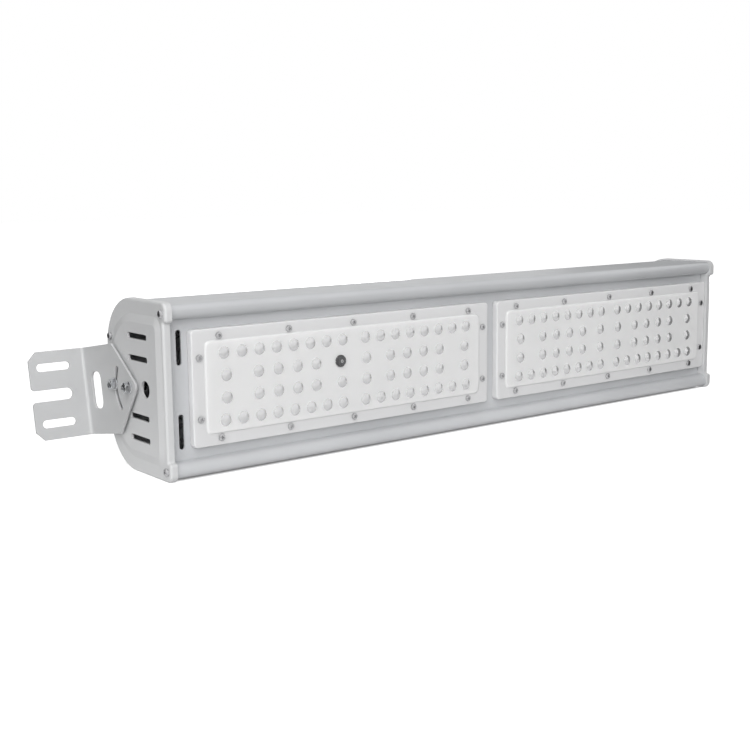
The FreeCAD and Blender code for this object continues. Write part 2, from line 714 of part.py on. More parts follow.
# Lens modules: plate with its lenses, seal, board, chips, connector and screws
def lens_plate(word, module):
    plugged = word == "left"
    body = new_body(word + "_lens_plate")
    flange = new_sketch(body, "flange", "XZ_Plane", "- web_front")
    centred_outline(flange, "plate_half_length", "plate_half", "plate_corner")
    add_pad(body, flange, "web_front - plate_front")
    field = new_sketch(body, "field", "XZ_Plane", "- plate_front")
    centred_outline(field, "field_half_length", "field_half", "field_corner")
    add_pad(body, field, "field_rise", draft="- field_draft")
    lenses = new_sketch(body, "lenses", "XZ_Plane", "- plate_front + field_rise")
    circles(lenses, lens_spots(plugged), "lens_base")
    add_pad(body, lenses, "lens_rise", draft="- lens_draft")
    hollow = new_sketch(body, "hollow", "XZ_Plane", "- web_front")
    centred_outline(hollow, "pocket_half_length", "pocket_half")
    add_pocket(body, hollow, "web_front - pocket_floor", backward=True)
    groove = new_sketch(body, "groove", "XZ_Plane", "- web_front")
    centred_outline(groove, "groove_outer_length", "groove_outer")
    centred_outline(groove, "groove_inner_length", "groove_inner")
    add_pocket(body, groove, "web_front - groove_floor", backward=True)
    holes = new_sketch(body, "holes", "XZ_Plane")
    circles(holes, lens_screw_spots(), "lens_screw_hole")
    if plugged:
        circles(holes, [("plug_out", "inner_row")], "plug_hole")
    add_pocket(body, holes)
    place(body, x=module)
    return keep(body)


def lens_seal(word, module):
    body = new_body(word + "_lens_seal")
    ring = new_sketch(body, "ring", "XZ_Plane", "- web_front")
    outer = ("groove_outer_length - seal_gap", "groove_outer - seal_gap")
    inner = ("groove_inner_length + seal_gap", "groove_inner + seal_gap")
    for half_x, half_y in (outer, inner):
        box_outline(ring, turned_over(half_x, -1), half_x, turned_over(half_y, -1), half_y)
    add_pad(body, ring, "web_front - groove_floor")
    place(body, x=module)
    return keep(body)


def led_board(word, module):
    body = new_body(word + "_led_board")
    board = new_sketch(body, "board", "XZ_Plane", "- web_front")
    centred_outline(board, "board_half_length", "board_half")
    circles(board, [("connector_out", None)], "board_lead_hole")
    add_pad(body, board, "web_front - board_front")
    place(body, x=module)
    return keep(body)


def board_connector(word, module):
    """A white wire-to-board connector with a narrower top."""
    body = new_body(word + "_board_connector")
    base = new_sketch(body, "base", "XZ_Plane", "- board_front")
    box_outline(base, "connector_out - connector_half_length", "connector_out + connector_half_length",
                "- connector_half", "connector_half")
    add_pad(body, base, "connector_rise - connector_step")
    top = new_sketch(body, "top", "XZ_Plane", "- board_front + connector_rise - connector_step")
    box_outline(top, "connector_out - connector_half_length + connector_step",
                "connector_out + connector_half_length - connector_step",
                "- connector_half + connector_step", "connector_half - connector_step")
    add_pad(body, top, "connector_step")
    place(body, x=module)
    return keep(body)


lens_screw = pan_screw("lens_screw_pattern", "lens_screw_head", "lens_screw_rise", "lens_screw_shank",
                       "lens_screw_length")
chip = primitive("Part::Box", "chip_pattern", Length="chip_half + chip_half", Width="chip_half + chip_half",
                 Height="chip_rise")
doc.recompute()
for word, module in MODULES:
    lens_plate(word, module)
    lens_seal(word, module)
    led_board(word, module)
    board_connector(word, module)
    chip_corners = []
    for x, z in lens_spots(word == "left"):
        chip_corners.append((from_module(module, x + " - chip_half"), "board_front", z + " - chip_half"))
    group(word + "_led_chips", chip, FRONT, chip_corners)
    spots = [(from_module(module, x), "plate_front", z) for x, z in lens_screw_spots()]
    group(word + "_lens_screws", lens_screw, FRONT, spots)

breather = turned("breather_plug", [("x", None), ("y", "plug_rise"), ("x", "plug_cap"), ("y", "plug_step"),
                                    ("x", "plug_head"), ("y", None), ("x", "plug_stem"),
                                    ("y", "- plug_stem_length")])
breather.Placement = FreeCAD.Placement(Vector(), FreeCAD.Rotation(UP, FRONT))
place(breather, x="module_first + plug_out", y="lens_face + plate_front - field_rise",
      z="mid_height + inner_row")
keep(breather)


# Driver, its tray and its wiring, inside the housing
def driver_tray():
    body = new_body("driver_tray")
    plate = new_sketch(body, "plate", "XZ_Plane", "- tray_rear")
    centred_outline(plate, "tray_half_length", "tray_rail_half")
    driver_holes(plate)
    add_pad(body, plate, "tray_rear - tray_lip_rear")
    place(body, x="driver_mid")
    return keep(body)


def driver_screw_spots():
    for sign in (-1, 1):
        for upward in (-1, 1):
            yield turned_over("driver_screw_out", sign), turned_over("driver_screw_half", upward)


def driver_holes(sketch):
    circles(sketch, driver_screw_spots(), "driver_screw_hole")


def driver_case():
    body = new_body("driver_case")
    section = new_sketch(body, "section", "YZ_Plane")
    outline(section, [("x", "driver_front"), ("y", "driver_half"), ("x", "tray_lip_rear"),
                      ("y", "- driver_half")], ["driver_edge", None, None, "driver_edge"])
    add_pad(body, section, "driver_half_length + driver_half_length", both=True)
    feet = new_sketch(body, "feet", "XZ_Plane", "- tray_lip_rear")
    reach = "driver_half_length + driver_foot"
    box_outline(feet, turned_over(reach, -1), reach, "- driver_half", "driver_half", "driver_edge")
    add_pad(body, feet, "tray_lip_rear - driver_foot_front")
    holes = new_sketch(body, "holes", "XZ_Plane")
    driver_holes(holes)
    add_pocket(body, holes)
    place(body, x="driver_mid")
    return keep(body)


def mains_terminal():
    """A three-pole terminal block with a screw well over each pole."""
    body = new_body("mains_terminal")
    section = new_sketch(body, "section", "XY_Plane")
    outline(section, [("x", "- terminal_half_length"), ("y", "terminal_step"), ("x", "- terminal_neck"),
                      ("y", "terminal_front"), ("x", "terminal_neck"), ("y", "terminal_step"),
                      ("x", "terminal_half_length"), ("y", "tray_lip_rear")])
    add_pad(body, section, "terminal_half + terminal_half", both=True)
    wells = new_sketch(body, "wells", "XZ_Plane", "- terminal_front")
    circles(wells, [(None, "- terminal_pitch"), (None, None), (None, "terminal_pitch")], "terminal_well")
    add_pocket(body, wells, "terminal_well_depth")
    place(body, x="terminal_out")
    return keep(body)


def board_lead(word, module, side):
    """A lead from the end of the driver, round one bend and through the web to the back of the connector."""
    body = new_body(word + "_board_lead")
    start = "driver_mid " + turned_over("driver_half_length", side)
    through = from_module(module, "+ connector_out")
    turn = through + " " + turned_over("lead_bend", -side)
    section = new_sketch(body, "section", "YZ_Plane", start)
    circles(section, [("lead_back", None)], "lead_radius")
    path = new_sketch(body, "path", "XY_Plane")
    back = value("lead_back")
    bend = value("lead_bend")
    centre = Vector(value(turn), back - bend)
    bend_start = Vector(value(turn), back)
    bend_end = Vector(value(through), back - bend)
    run = path.addGeometry(Part.LineSegment(Vector(value(start), back), bend_start), False)
    ends = (bend_start, bend_end) if side < 0 else (bend_end, bend_start)
    arc = path.addGeometry(arc_between(centre, *ends), False)
    drop = path.addGeometry(Part.LineSegment(bend_end, Vector(value(through), value("board_front"))), False)
    arc_first, arc_last = (1, 2) if side < 0 else (2, 1)
    constrain(path, "Horizontal", run)
    constrain(path, "Vertical", drop)
    constrain(path, "Tangent", run, 2, arc, arc_first)
    constrain(path, "Tangent", arc, arc_last, drop, 1)
    constrain_to(path, "DistanceX", start, -1, 1, run, 1)
    constrain_to(path, "DistanceY", "lead_back", -1, 1, run, 1)
    constrain_to(path, "DistanceX", through, -1, 1, drop, 2)
    constrain_to(path, "DistanceY", "board_front", -1, 1, drop, 2)
    constrain_to(path, "Radius", "lead_bend", arc)
    pipe = body.newObject("PartDesign::AdditivePipe", body.Label + "_pipe")
    pipe.Profile = section
    pipe.Spine = (path, ["Edge1", "Edge2", "Edge3"])
    doc.recompute()
    place(body)
    return keep(body)


driver_tray()
driver_case()
mains_terminal()
driver_screw = pan_screw("driver_screw_pattern", "driver_screw_head", "driver_screw_rise",
                         "driver_screw_shank", "driver_screw_length")
group("driver_screws", driver_screw, FRONT,
      [("driver_mid " + x, "driver_foot_front", z) for x, z in driver_screw_spots()])
for (word, module), (_, side) in zip(MODULES, SIDES):
    board_lead(word, module, side)

mains_lead = new_body("mains_lead")
mains_section = new_sketch(mains_lead, "section", "YZ_Plane", "terminal_out + terminal_neck")
circles(mains_section, [("mains_lead_back", "terminal_pitch")], "mains_lead_radius")
add_pad(mains_lead, mains_section, "driver_mid - driver_half_length - terminal_out - terminal_neck")
place(mains_lead)
keep(mains_lead)


# Brackets
def arc_slot(sketch):
    """The slot round the pivot that the lock bolt runs in."""
    middle = value("lock_radius")
    half = value("arc_slot_half")
    reach = math.radians(value("arc_slot_reach"))
    circle_out = Part.Circle(Vector(), UP, middle + half)
    circle_in = Part.Circle(Vector(), UP, middle - half)
    outer = sketch.addGeometry(Part.ArcOfCircle(circle_out, -reach, reach), False)
    inner = sketch.addGeometry(Part.ArcOfCircle(circle_in, -reach, reach), False)
    for arc, text in ((outer, "lock_radius + arc_slot_half"), (inner, "lock_radius - arc_slot_half")):
        constrain(sketch, "Coincident", arc, 3, -1, 1)
        constrain_to(sketch, "Radius", text, arc)
    for sign in (-1, 1):
        way = Vector(math.cos(reach), sign * math.sin(reach))
        near = way * (middle - half)
        far = way * (middle + half)
        ends = (near, far) if sign < 0 else (far, near)
        end = sketch.addGeometry(arc_between(way * middle, *ends), False)
        constrain(sketch, "Tangent", outer, 1 if sign < 0 else 2, end, 2 if sign < 0 else 1)
        constrain(sketch, "Tangent", inner, 1 if sign < 0 else 2, end, 1 if sign < 0 else 2)
        index = constrain(sketch, "DistanceY", -1, 1, end, 3, way.y * middle)
        height = "sizes.lock_radius * sin(sizes.arc_slot_reach * 1 deg)"
        sketch.setExpression(f"Constraints[{index}]", height if sign > 0 else "-1 * " + height)


def arm_outline(sketch):
    """The arm, straight at the bend and tapering to a round tip in front of the pivot."""
    half = value("bracket_half")
    end = value("bracket_rear - bend_outer")
    shoulder = value("arm_shoulder")
    tip = value("arm_tip_radius")
    centre = Vector(value("arm_tip_radius - arm_tip"), 0)
    corner = Vector(shoulder, half)
    lean = (corner - centre).Length
    turn = math.atan2(half, shoulder - centre.x) + math.acos(tip / lean)
    touch = centre + Vector(math.cos(turn), math.sin(turn)) * tip
    low_touch = Vector(touch.x, -touch.y)
    points = [low_touch, Vector(shoulder, -half), Vector(end, -half), Vector(end, half), corner, touch]
    lines = []
    for start, finish in zip(points, points[1:]):
        lines.append(sketch.addGeometry(Part.LineSegment(start, finish), False))
    low_slope, low_side, back, high_side, high_slope = lines
    for line, following in zip(lines, lines[1:]):
        constrain(sketch, "Coincident", line, 2, following, 1)
    tip_arc = sketch.addGeometry(arc_between(centre, touch, low_touch), False)
    constrain(sketch, "Tangent", high_slope, 2, tip_arc, 1)
    constrain(sketch, "Tangent", tip_arc, 2, low_slope, 1)
    constrain(sketch, "PointOnObject", tip_arc, 3, -1)
    constrain_to(sketch, "DistanceX", "arm_tip_radius - arm_tip", -1, 1, tip_arc, 3)
    constrain_to(sketch, "Radius", "arm_tip_radius", tip_arc)
    constrain(sketch, "Vertical", back)
    constrain_to(sketch, "DistanceX", "bracket_rear - bend_outer", -1, 1, back, 1)
    for line, text, shoulder_end in ((low_side, "- bracket_half", 1), (high_side, "bracket_half", 2)):
        constrain(sketch, "Horizontal", line)
        constrain_to(sketch, "DistanceY", text, -1, 1, line, 1)
        constrain_to(sketch, "DistanceX", "arm_shoulder", -1, 1, line, shoulder_end)


def bend_outline(sketch, side):
    """Section of the quarter bend between arm and mounting plate."""
    across = turned_over("bend_outer", side)
    along = "bracket_rear - bend_outer"
    centre = Vector(value(across), value(along))
    outer = value("bend_outer")
    inner = value("bend_outer - sheet")
    arm_way = Vector(-side, 0)
    rear_way = Vector(0, 1)
    arcs = []
    for radius, text in ((outer, "bend_outer"), (inner, "bend_outer - sheet")):
        ends = (centre + rear_way * radius, centre + arm_way * radius)
        ordered = ends if side > 0 else ends[::-1]
        arc = sketch.addGeometry(arc_between(centre, *ordered), False)
        constrain_to(sketch, "DistanceX", across, -1, 1, arc, 3)
        constrain_to(sketch, "DistanceY", along, -1, 1, arc, 3)
        constrain_to(sketch, "Radius", text, arc)
        arcs.append(arc)
    rear_end, arm_end = (1, 2) if side > 0 else (2, 1)
    at_arm = Part.LineSegment(centre + arm_way * outer, centre + arm_way * inner)
    at_plate = Part.LineSegment(centre + rear_way * inner, centre + rear_way * outer)
    arm_line = sketch.addGeometry(at_arm, False)
    plate_line = sketch.addGeometry(at_plate, False)
    constrain(sketch, "Coincident", arm_line, 1, arcs[0], arm_end)
    constrain(sketch, "Coincident", arm_line, 2, arcs[1], arm_end)
    constrain(sketch, "Coincident", plate_line, 1, arcs[1], rear_end)
    constrain(sketch, "Coincident", plate_line, 2, arcs[0], rear_end)
    for end in (1, 2):
        constrain_to(sketch, "DistanceY", along, -1, 1, arm_line, end)
        constrain_to(sketch, "DistanceX", across, -1, 1, plate_line, end)


def upright_edges(shape, spots):
    """Names of the edges through the sheet, along Y, that stand at the (x, z) spots."""
    near = 0.01
    names = []
    for number, line in enumerate(shape.Edges, start=1):
        box = line.BoundBox
        along = box.YLength > near and box.XLength < near and box.ZLength < near
        if along and any(abs(box.XMin - x) < near and abs(box.ZMin - z) < near for x, z in spots):
            names.append(f"Edge{number}")
    return names


def bracket(word, side):
    body = new_body(word + "_bracket")
    arm = new_sketch(body, "arm", "YZ_Plane")
    arm_outline(arm)
    arc_slot(arm)
    circles(arm, [(None, None)], "pivot_hole")
    box_outline(arm, "hook_slot_back - hook_slot_wide", "hook_slot_back + hook_slot_wide",
                "- hook_slot_half", "hook_slot_half", "hook_slot_corner")
    add_pad(body, arm, "sheet", backward=side < 0)
    bend = new_sketch(body, "bend", "XY_Plane")
    bend_outline(bend, side)
    add_pad(body, bend, "bracket_half + bracket_half", both=True)
    plate = new_sketch(body, "plate", "XZ_Plane", "- bracket_rear")
    box_outline(plate, turned_over("bend_outer", side), turned_over("mount_reach", side),
                "- bracket_half", "bracket_half")
    add_pad(body, plate, "sheet")

    slots = new_sketch(body, "slots", "XZ_Plane", "- bracket_rear")
    for sign in (-1, 1):
        ends = [turned_over("mount_slot_mid - mount_slot_half + mount_slot_radius", side),
                turned_over("mount_slot_mid + mount_slot_half - mount_slot_radius", side)]
        low, high = sorted(ends, key=value)
        round_slot(slots, low, high, turned_over("mount_slot_row", sign), "mount_slot_radius")
    ends = [turned_over("open_slot_end", side), turned_over("mount_reach + open_slot_radius", side)]
    low, high = sorted(ends, key=value)
    round_slot(slots, low, high, None, "open_slot_radius")
    cut = add_pocket(body, slots, "sheet", backward=True)

    reach = side * value("mount_reach")
    half = value("bracket_half")
    mouth = value("open_slot_radius")
    corners = body.newObject("PartDesign::Chamfer", body.Label + "_corners")
    corners.Base = (cut, upright_edges(cut.Shape, [(reach, half), (reach, -half)]))
    bind(corners, "Size", "mount_chamfer")
    doc.recompute()
    rounding = body.newObject("PartDesign::Fillet", body.Label + "_mouth")
    rounding.Base = (corners, upright_edges(corners.Shape, [(reach, mouth), (reach, -mouth)]))
    bind(rounding, "Radius", "open_slot_mouth")
    doc.recompute()
    body.Placement = FreeCAD.Placement(Vector(), FreeCAD.Rotation(Vector(1, 0, 0), value("bracket_tilt")))
    place(body, x=turned_over("half_length + panel_rise + spacer_thick + running_gap", side),
          y="lens_face + pivot_back")
    return keep(body)


for word, side in SIDES:
    bracket(word, side)

# Bracket hardware, from the cap outwards: spacer, arm, flat washer, spring washer and the bolt's head
spacer = washer("spacer_pattern", "washer_inner", "washer_outer", "spacer_thick")
flat_washer = washer("flat_washer_pattern", "washer_inner", "washer_outer", "washer_thick")
spring_washer = washer("spring_washer_pattern", "washer_inner", "spring_outer", "spring_thick")
hex_head = primitive("Part::Prism", "bolt_head", Circumradius="bolt_corner", Height="bolt_rise")
bolt_rod = primitive("Part::Cylinder", "bolt_rod", Radius="bolt_shank", Height="bolt_length")
bind(bolt_rod, "Placement.Base.z", "- bolt_length")
bolt = combined("Part::Fuse", "bolt_pattern", hex_head, bolt_rod)
nut_body = primitive("Part::Prism", "nut_body", Circumradius="nut_corner", Height="nut_thick")
nut_bore = primitive("Part::Cylinder", "nut_bore", Radius="nut_hole", Height="nut_thick")
nut = combined("Part::Cut", "nut_pattern", nut_body, nut_bore)

on_panel = "half_length + panel_rise"
on_arm = on_panel + " + spacer_thick + running_gap + sheet + running_gap"
on_washer = on_arm + " + washer_thick"
on_spring = on_washer + " + spring_thick"
under_cap = "half_length - cap_face - nut_thick"
for word, side in SIDES:
    stacks = (("pivot", "pivot_back"), ("lock", "pivot_back + lock_radius"))
    for level, pattern, name in ((on_panel, spacer, "spacers"), (on_arm, flat_washer, "flat_washers"),
                                 (on_washer, spring_washer, "spring_washers"),
                                 (under_cap, nut, "clinch_nuts")):
        spots = [(turned_over(level, side), back, None) for stack, back in stacks]
        group(f"{word}_{name}", pattern, Vector(side, 0, 0), spots)
    for stack, back in stacks:
        group(f"{word}_{stack}_bolt", bolt, Vector(side, 0, 0), [(turned_over(on_spring, side), back, None)])

# Every object has to be sound before anything is written
doc.recompute()
for item in doc.Objects:
    if "Invalid" in item.State or "Error" in item.State:
        raise RuntimeError(f"{item.Label} failed: {item.State}")
for node in nodes:
    if node.Shape.isNull() or not node.Shape.isValid():
        raise RuntimeError(f"{node.Label} has no valid shape")

os.makedirs("parts", exist_ok=True)
for node in nodes:
    node.Shape.exportStep(f"parts/{node.Label}.step")
print(len(nodes), "pieces written")
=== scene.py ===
import math

import bmesh
import bpy
from mathutils import Matrix, Vector


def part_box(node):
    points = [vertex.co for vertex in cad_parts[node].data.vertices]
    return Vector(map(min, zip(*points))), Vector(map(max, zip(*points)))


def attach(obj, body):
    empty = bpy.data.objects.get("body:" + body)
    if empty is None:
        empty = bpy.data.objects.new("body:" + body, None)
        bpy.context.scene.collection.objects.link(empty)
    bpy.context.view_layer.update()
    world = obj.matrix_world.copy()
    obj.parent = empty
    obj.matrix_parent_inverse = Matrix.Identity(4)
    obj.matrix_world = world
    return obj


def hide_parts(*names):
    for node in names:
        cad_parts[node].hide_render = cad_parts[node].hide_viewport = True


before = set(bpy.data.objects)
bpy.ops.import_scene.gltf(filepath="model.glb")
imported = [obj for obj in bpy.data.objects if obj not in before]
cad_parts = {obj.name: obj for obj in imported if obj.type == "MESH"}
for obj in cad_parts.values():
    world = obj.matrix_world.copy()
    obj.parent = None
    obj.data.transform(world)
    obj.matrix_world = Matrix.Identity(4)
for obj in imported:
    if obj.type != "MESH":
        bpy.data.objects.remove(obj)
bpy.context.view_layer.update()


# Housing: one hollow aluminium extrusion, with a rounded rail along each front edge and a recessed web
# between them. It is cut to length, slotted at the left end and sprayed with a satin silver powder coat
# over the faint lines of the die. Inside, behind the web, its colour is a painted shade, near black, so
# that the slots look dark.
mm = 0.001
noise_low = 0.3
noise_high = 0.7


def shader_of(material):
    return material.node_tree.nodes["Principled BSDF"]


def new_finish(name, roughness, metallic=0.0, ior=1.5):
    """A material with the constants of its shader set."""
    material = bpy.data.materials.new(name)
    material.use_nodes = True
    shader = shader_of(material)
    shader.inputs["Roughness"].default_value = roughness
    shader.inputs["Metallic"].default_value = metallic
    shader.inputs["IOR"].default_value = ior
    return material


def pattern(tree, size, stretch=(1, 1, 1), detail=2.0):
    """Noise on the piece's own coordinates; size is the width of its spots, and stretch draws them out."""
    place = tree.nodes.new("ShaderNodeTexCoord")
    mapping = tree.nodes.new("ShaderNodeMapping")
    noise = tree.nodes.new("ShaderNodeTexNoise")
    mapping.inputs["Scale"].default_value = [1 / longer for longer in stretch]
    noise.inputs["Scale"].default_value = 1 / size
    noise.inputs["Detail"].default_value = detail
    tree.links.new(place.outputs["Object"], mapping.inputs["Vector"])
    tree.links.new(mapping.outputs["Vector"], noise.inputs["Vector"])
    return noise.outputs["Fac"]


def tone(material, size, dark, light, **drawn):
    """Lets the colour drift between two tones, in spots of that size."""
    tree = material.node_tree
    spots = pattern(tree, size, **drawn)
    ramp = tree.nodes.new("ShaderNodeValToRGB")
    ends = ramp.color_ramp.elements
    ends[0].position = noise_low
    ends[0].color = (*dark, 1)
    ends[1].position = noise_high
    ends[1].color = (*light, 1)
    tree.links.new(spots, ramp.inputs["Fac"])
    tree.links.new(ramp.outputs["Color"], shader_of(material).inputs["Base Color"])


def gloss(material, size, shiny, dull, **drawn):
    """Lets the roughness drift between two values, in spots of that size."""
    tree = material.node_tree
    spots = pattern(tree, size, **drawn)
    spread_out = tree.nodes.new("ShaderNodeMapRange")
    spread_out.inputs["From Min"].default_value = noise_low
    spread_out.inputs["From Max"].default_value = noise_high
    spread_out.inputs["To Min"].default_value = shiny
    spread_out.inputs["To Max"].default_value = dull
    tree.links.new(spots, spread_out.inputs["Value"])
    tree.links.new(spread_out.outputs["Result"], shader_of(material).inputs["Roughness"])


def relief(material, size, height, strength, **drawn):
    """Adds a relief of that height to the surface, on top of any that it has."""
    tree = material.node_tree
    spots = pattern(tree, size, **drawn)
    bump = tree.nodes.new("ShaderNodeBump")
    bump.inputs["Distance"].default_value = height
    bump.inputs["Strength"].default_value = strength
    normal = shader_of(material).inputs["Normal"]
    if normal.is_linked:
        tree.links.new(normal.links[0].from_socket, bump.inputs["Normal"])
    tree.links.new(spots, bump.inputs["Height"])
    tree.links.new(bump.outputs["Normal"], normal)


def silver_coat(name, dark, light):
    """Satin silver powder coat: aluminium flake in a clear binder, with a fine orange peel."""
    material = new_finish(name, roughness=0.42, metallic=0.12)
    tone(material, size=90 * mm, dark=dark, light=light)
    gloss(material, size=14 * mm, shiny=0.38, dull=0.46)
    relief(material, size=1.3 * mm, height=0.05 * mm, strength=0.25)
    return material


def dress(material, *nodes):
    """Gives carried-over solids their finish."""
    for node in nodes:
        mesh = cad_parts[node].data
        mesh.materials.clear()
        mesh.materials.append(material)


def outside(material, low, high, reach, weight):
    """0 well inside a box on the piece's own coordinates and 1 outside it, with a soft step over the reach;
    a weight of 0 leaves an axis out."""
    tree = material.node_tree
    spot = tree.nodes.new("ShaderNodeTexCoord").outputs["Object"]
    steps = (
        ("SUBTRACT", (low + high) / 2),
        ("ABSOLUTE", None),
        ("SUBTRACT", (high - low) / 2 - reach),
        ("DIVIDE", reach),
        ("MAXIMUM", (0, 0, 0)),
        ("MULTIPLY", weight),
        ("LENGTH", None),
    )
    for step, operand in steps:
        node = tree.nodes.new("ShaderNodeVectorMath")
        node.operation = step
        tree.links.new(spot, node.inputs[0])
        if operand is not None:
            node.inputs[1].default_value = operand
        spot = node.outputs["Value"] if step == "LENGTH" else node.outputs["Vector"]
    ease = tree.nodes.new("ShaderNodeMapRange")
    ease.interpolation_type = "SMOOTHSTEP"
    tree.links.new(spot, ease.inputs["Value"])
    return ease.outputs["Result"]


def overlay(material, share, colour, under):
    """Lays another colour over the material's own, or under it, by its share of the surface."""
    tree = material.node_tree
    own = shader_of(material).inputs["Base Color"]
    mix = tree.nodes.new("ShaderNodeMixRGB")
    first, second = ("Color2", "Color1") if under else ("Color1", "Color2")
    mix.inputs[second].default_value = colour
    tree.links.new(share, mix.inputs["Fac"])
    tree.links.new(own.links[0].from_socket, mix.inputs[first])
    tree.links.new(mix.outputs["Color"], own)


housing_paint = silver_coat("housing_paint", dark=(0.565, 0.575, 0.59), light=(0.615, 0.625, 0.64))
relief(housing_paint, size=1.1 * mm, stretch=(400, 1, 1), height=0.04 * mm, strength=0.2)
# Painted shade: the inside of the housing, behind the web, is coloured near black where shade falls.
inside_shade_colour = (0.10, 0.10, 0.105, 1)
shade_box_half_length = 400 * mm
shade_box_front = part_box("left_lens_plate")[1].y + 1.0 * mm
shade_box_back = -12 * mm
shade_box_bottom = 8 * mm
shade_box_top = 120 * mm
shade_box_reach = Vector((0.5, 0.5, 0.5)) * mm
outside_shade_box = outside(housing_paint, Vector((-shade_box_half_length, shade_box_front, shade_box_bottom)),
                 Vector((shade_box_half_length, shade_box_back, shade_box_top)), shade_box_reach, weight=(1, 1, 1))
overlay(housing_paint, outside_shade_box, inside_shade_colour, under=True)
dress(housing_paint, "housing")


# Driver: a potted power supply on a galvanised tray that slides into rails at the back of the housing.
# Its feet are screwed to the tray, a moulded terminal takes the mains, and insulated leads go to the
# boards.
galvanised = new_finish("galvanised_tray", roughness=0.4, metallic=1.0)
tone(galvanised, size=9 * mm, detail=0.0, dark=(0.50, 0.52, 0.55), light=(0.66, 0.68, 0.70))
gloss(galvanised, size=9 * mm, detail=0.0, shiny=0.28, dull=0.5)
dress(galvanised, "driver_tray")

driver_case = new_finish("driver_case", roughness=0.45, metallic=0.8)
tone(driver_case, size=40 * mm, dark=(0.16, 0.165, 0.17), light=(0.22, 0.225, 0.23))
relief(driver_case, size=0.6 * mm, stretch=(60, 1, 1), height=0.03 * mm, strength=0.3)
dress(driver_case, "driver_case")

terminal_plastic = new_finish("terminal_plastic", roughness=0.5)
tone(terminal_plastic, size=6 * mm, dark=(0.10, 0.10, 0.11), light=(0.16, 0.16, 0.17))
relief(terminal_plastic, size=0.4 * mm, height=0.02 * mm, strength=0.3)
dress(terminal_plastic, "mains_terminal")

lead_insulation = new_finish("lead_insulation", roughness=0.7, ior=1.3)
tone(lead_insulation, size=12 * mm, dark=(0.05, 0.05, 0.052), light=(0.09, 0.09, 0.092))
relief(lead_insulation, size=0.8 * mm, height=0.03 * mm, strength=0.3)
dress(lead_insulation, "mains_lead", "left_board_lead", "right_board_lead")

screw_steel = new_finish("screw_steel", roughness=0.3, metallic=1.0)
tone(screw_steel, size=1.2 * mm, dark=(0.46, 0.46, 0.47), light=(0.66, 0.66, 0.67))
gloss(screw_steel, size=0.7 * mm, shiny=0.2, dull=0.42)
relief(screw_steel, size=0.25 * mm, height=0.01 * mm, strength=0.3)
dress(screw_steel, "driver_screws")


# LED boards: aluminium-core boards with a white solder mask, bedded on the web behind each lens plate.
# Each carries its yellow phosphor chips and a white wire connector, and a silicone seal runs round it.
board_mask = new_finish("board_mask", roughness=0.35)
tone(board_mask, size=7 * mm, detail=0.0, dark=(0.76, 0.76, 0.75), light=(0.84, 0.84, 0.83))
relief(board_mask, size=2.5 * mm, detail=0.0, height=0.03 * mm, strength=0.4)
dress(board_mask, "left_led_board", "right_led_board")

phosphor = new_finish("chip_phosphor", roughness=0.4)
tone(phosphor, size=0.5 * mm, dark=(0.80, 0.60, 0.10), light=(0.90, 0.74, 0.22))
relief(phosphor, size=0.3 * mm, height=0.02 * mm, strength=0.4)
dress(phosphor, "left_led_chips", "right_led_chips")

connector_nylon = new_finish("connector_nylon", roughness=0.45)
tone(connector_nylon, size=4 * mm, dark=(0.74, 0.73, 0.70), light=(0.82, 0.81, 0.78))
relief(connector_nylon, size=0.5 * mm, height=0.02 * mm, strength=0.3)
dress(connector_nylon, "left_board_connector", "right_board_connector")

seal_silicone = new_finish("seal_silicone", roughness=0.6)
tone(seal_silicone, size=10 * mm, dark=(0.30, 0.30, 0.30), light=(0.38, 0.38, 0.38))
relief(seal_silicone, size=0.5 * mm, height=0.03 * mm, strength=0.4)
dress(seal_silicone, "left_lens_seal", "right_lens_seal")


# Lens plates: one injection-moulded plate of milky polycarbonate over each board, with a flange for its
# screws, a raised field and 56 polished lenses; the left one has a hole in place of one lens, for the vent
# plug. The back is a shallow tray that goes over the board.
lens_rise = 1.8 * mm
lens_foot = 4.6 * mm
lens_sunk = 0.2 * mm
lens_sides = 16
outer_row = 24.5 * mm
outer_first = 11.0 * mm
outer_pitch = 15.1 * mm
outer_count = 8
outer_places = [outer_first + outer_pitch * number for number in range(outer_count)]
inner_row = 8.2 * mm
inner_first = 12.0 * mm
inner_second = 36.0 * mm
inner_pitch = 17.2 * mm
inner_count = 4
inner_last = 115.0 * mm
inner_run = [inner_second + inner_pitch * number for number in range(inner_count)]
inner_places = [inner_first, *inner_run, inner_last]
field_rise = 1.0 * mm
field_end_margin = 10.0 * mm
field_side_margin = 8.5 * mm
field_corner = 4.0 * mm
field_edge = 0.5 * mm
plate_corner = 3.0 * mm
plate_edge = 0.7 * mm
tray_end_margin = 13.5 * mm
tray_side_margin = 11.5 * mm
tray_depth = 4.9 * mm
screw_row = 37.0 * mm
screw_pitch = 60.0 * mm
screw_steps = (-2, -1, 0, 1, 2)
screw_side = 136.5 * mm
screw_pair = 22.1 * mm
screw_hole = 1.65 * mm
plug_out = -13.5 * mm
plug_hole = 3.0 * mm
hole_sides = 16
hole_reach = 20.0 * mm
flange_web_and_shade_tone = (0.775, 0.775, 0.78, 1)
flange_reach = Vector((2.0, 1.0, 2.0)) * mm
flange_weight = (1, 0, 1)
polycarbonate_ior = 1.585
to_front = Vector((0, -1, 0))
to_back = Vector((0, 1, 0))
laid_forward = (math.pi / 2, 0, 0)
same_place = 0.02 * mm
squarely = 0.9


def near(one, other):
    return abs(one - other) < same_place


def level(edge, axis, place):
    """True for an edge that lies at that place along the axis."""
    return all(near(getattr(vert.co, axis), place) for vert in edge.verts)


def sharper(edge, degrees):
    """True for an edge whose faces turn by more than that angle."""
    return edge.calc_face_angle(0) > math.radians(degrees)


def settle():
    """Moves the place, turn and scale of the active object into its mesh."""
    bpy.ops.object.transform_apply(location=True, rotation=True, scale=True)


def clear_selection():
    bpy.ops.object.select_all(action="DESELECT")


def take(piece):
    """Makes a piece the active one, and the only one selected."""
    clear_selection()
    piece.select_set(True)
    bpy.context.view_layer.objects.active = piece


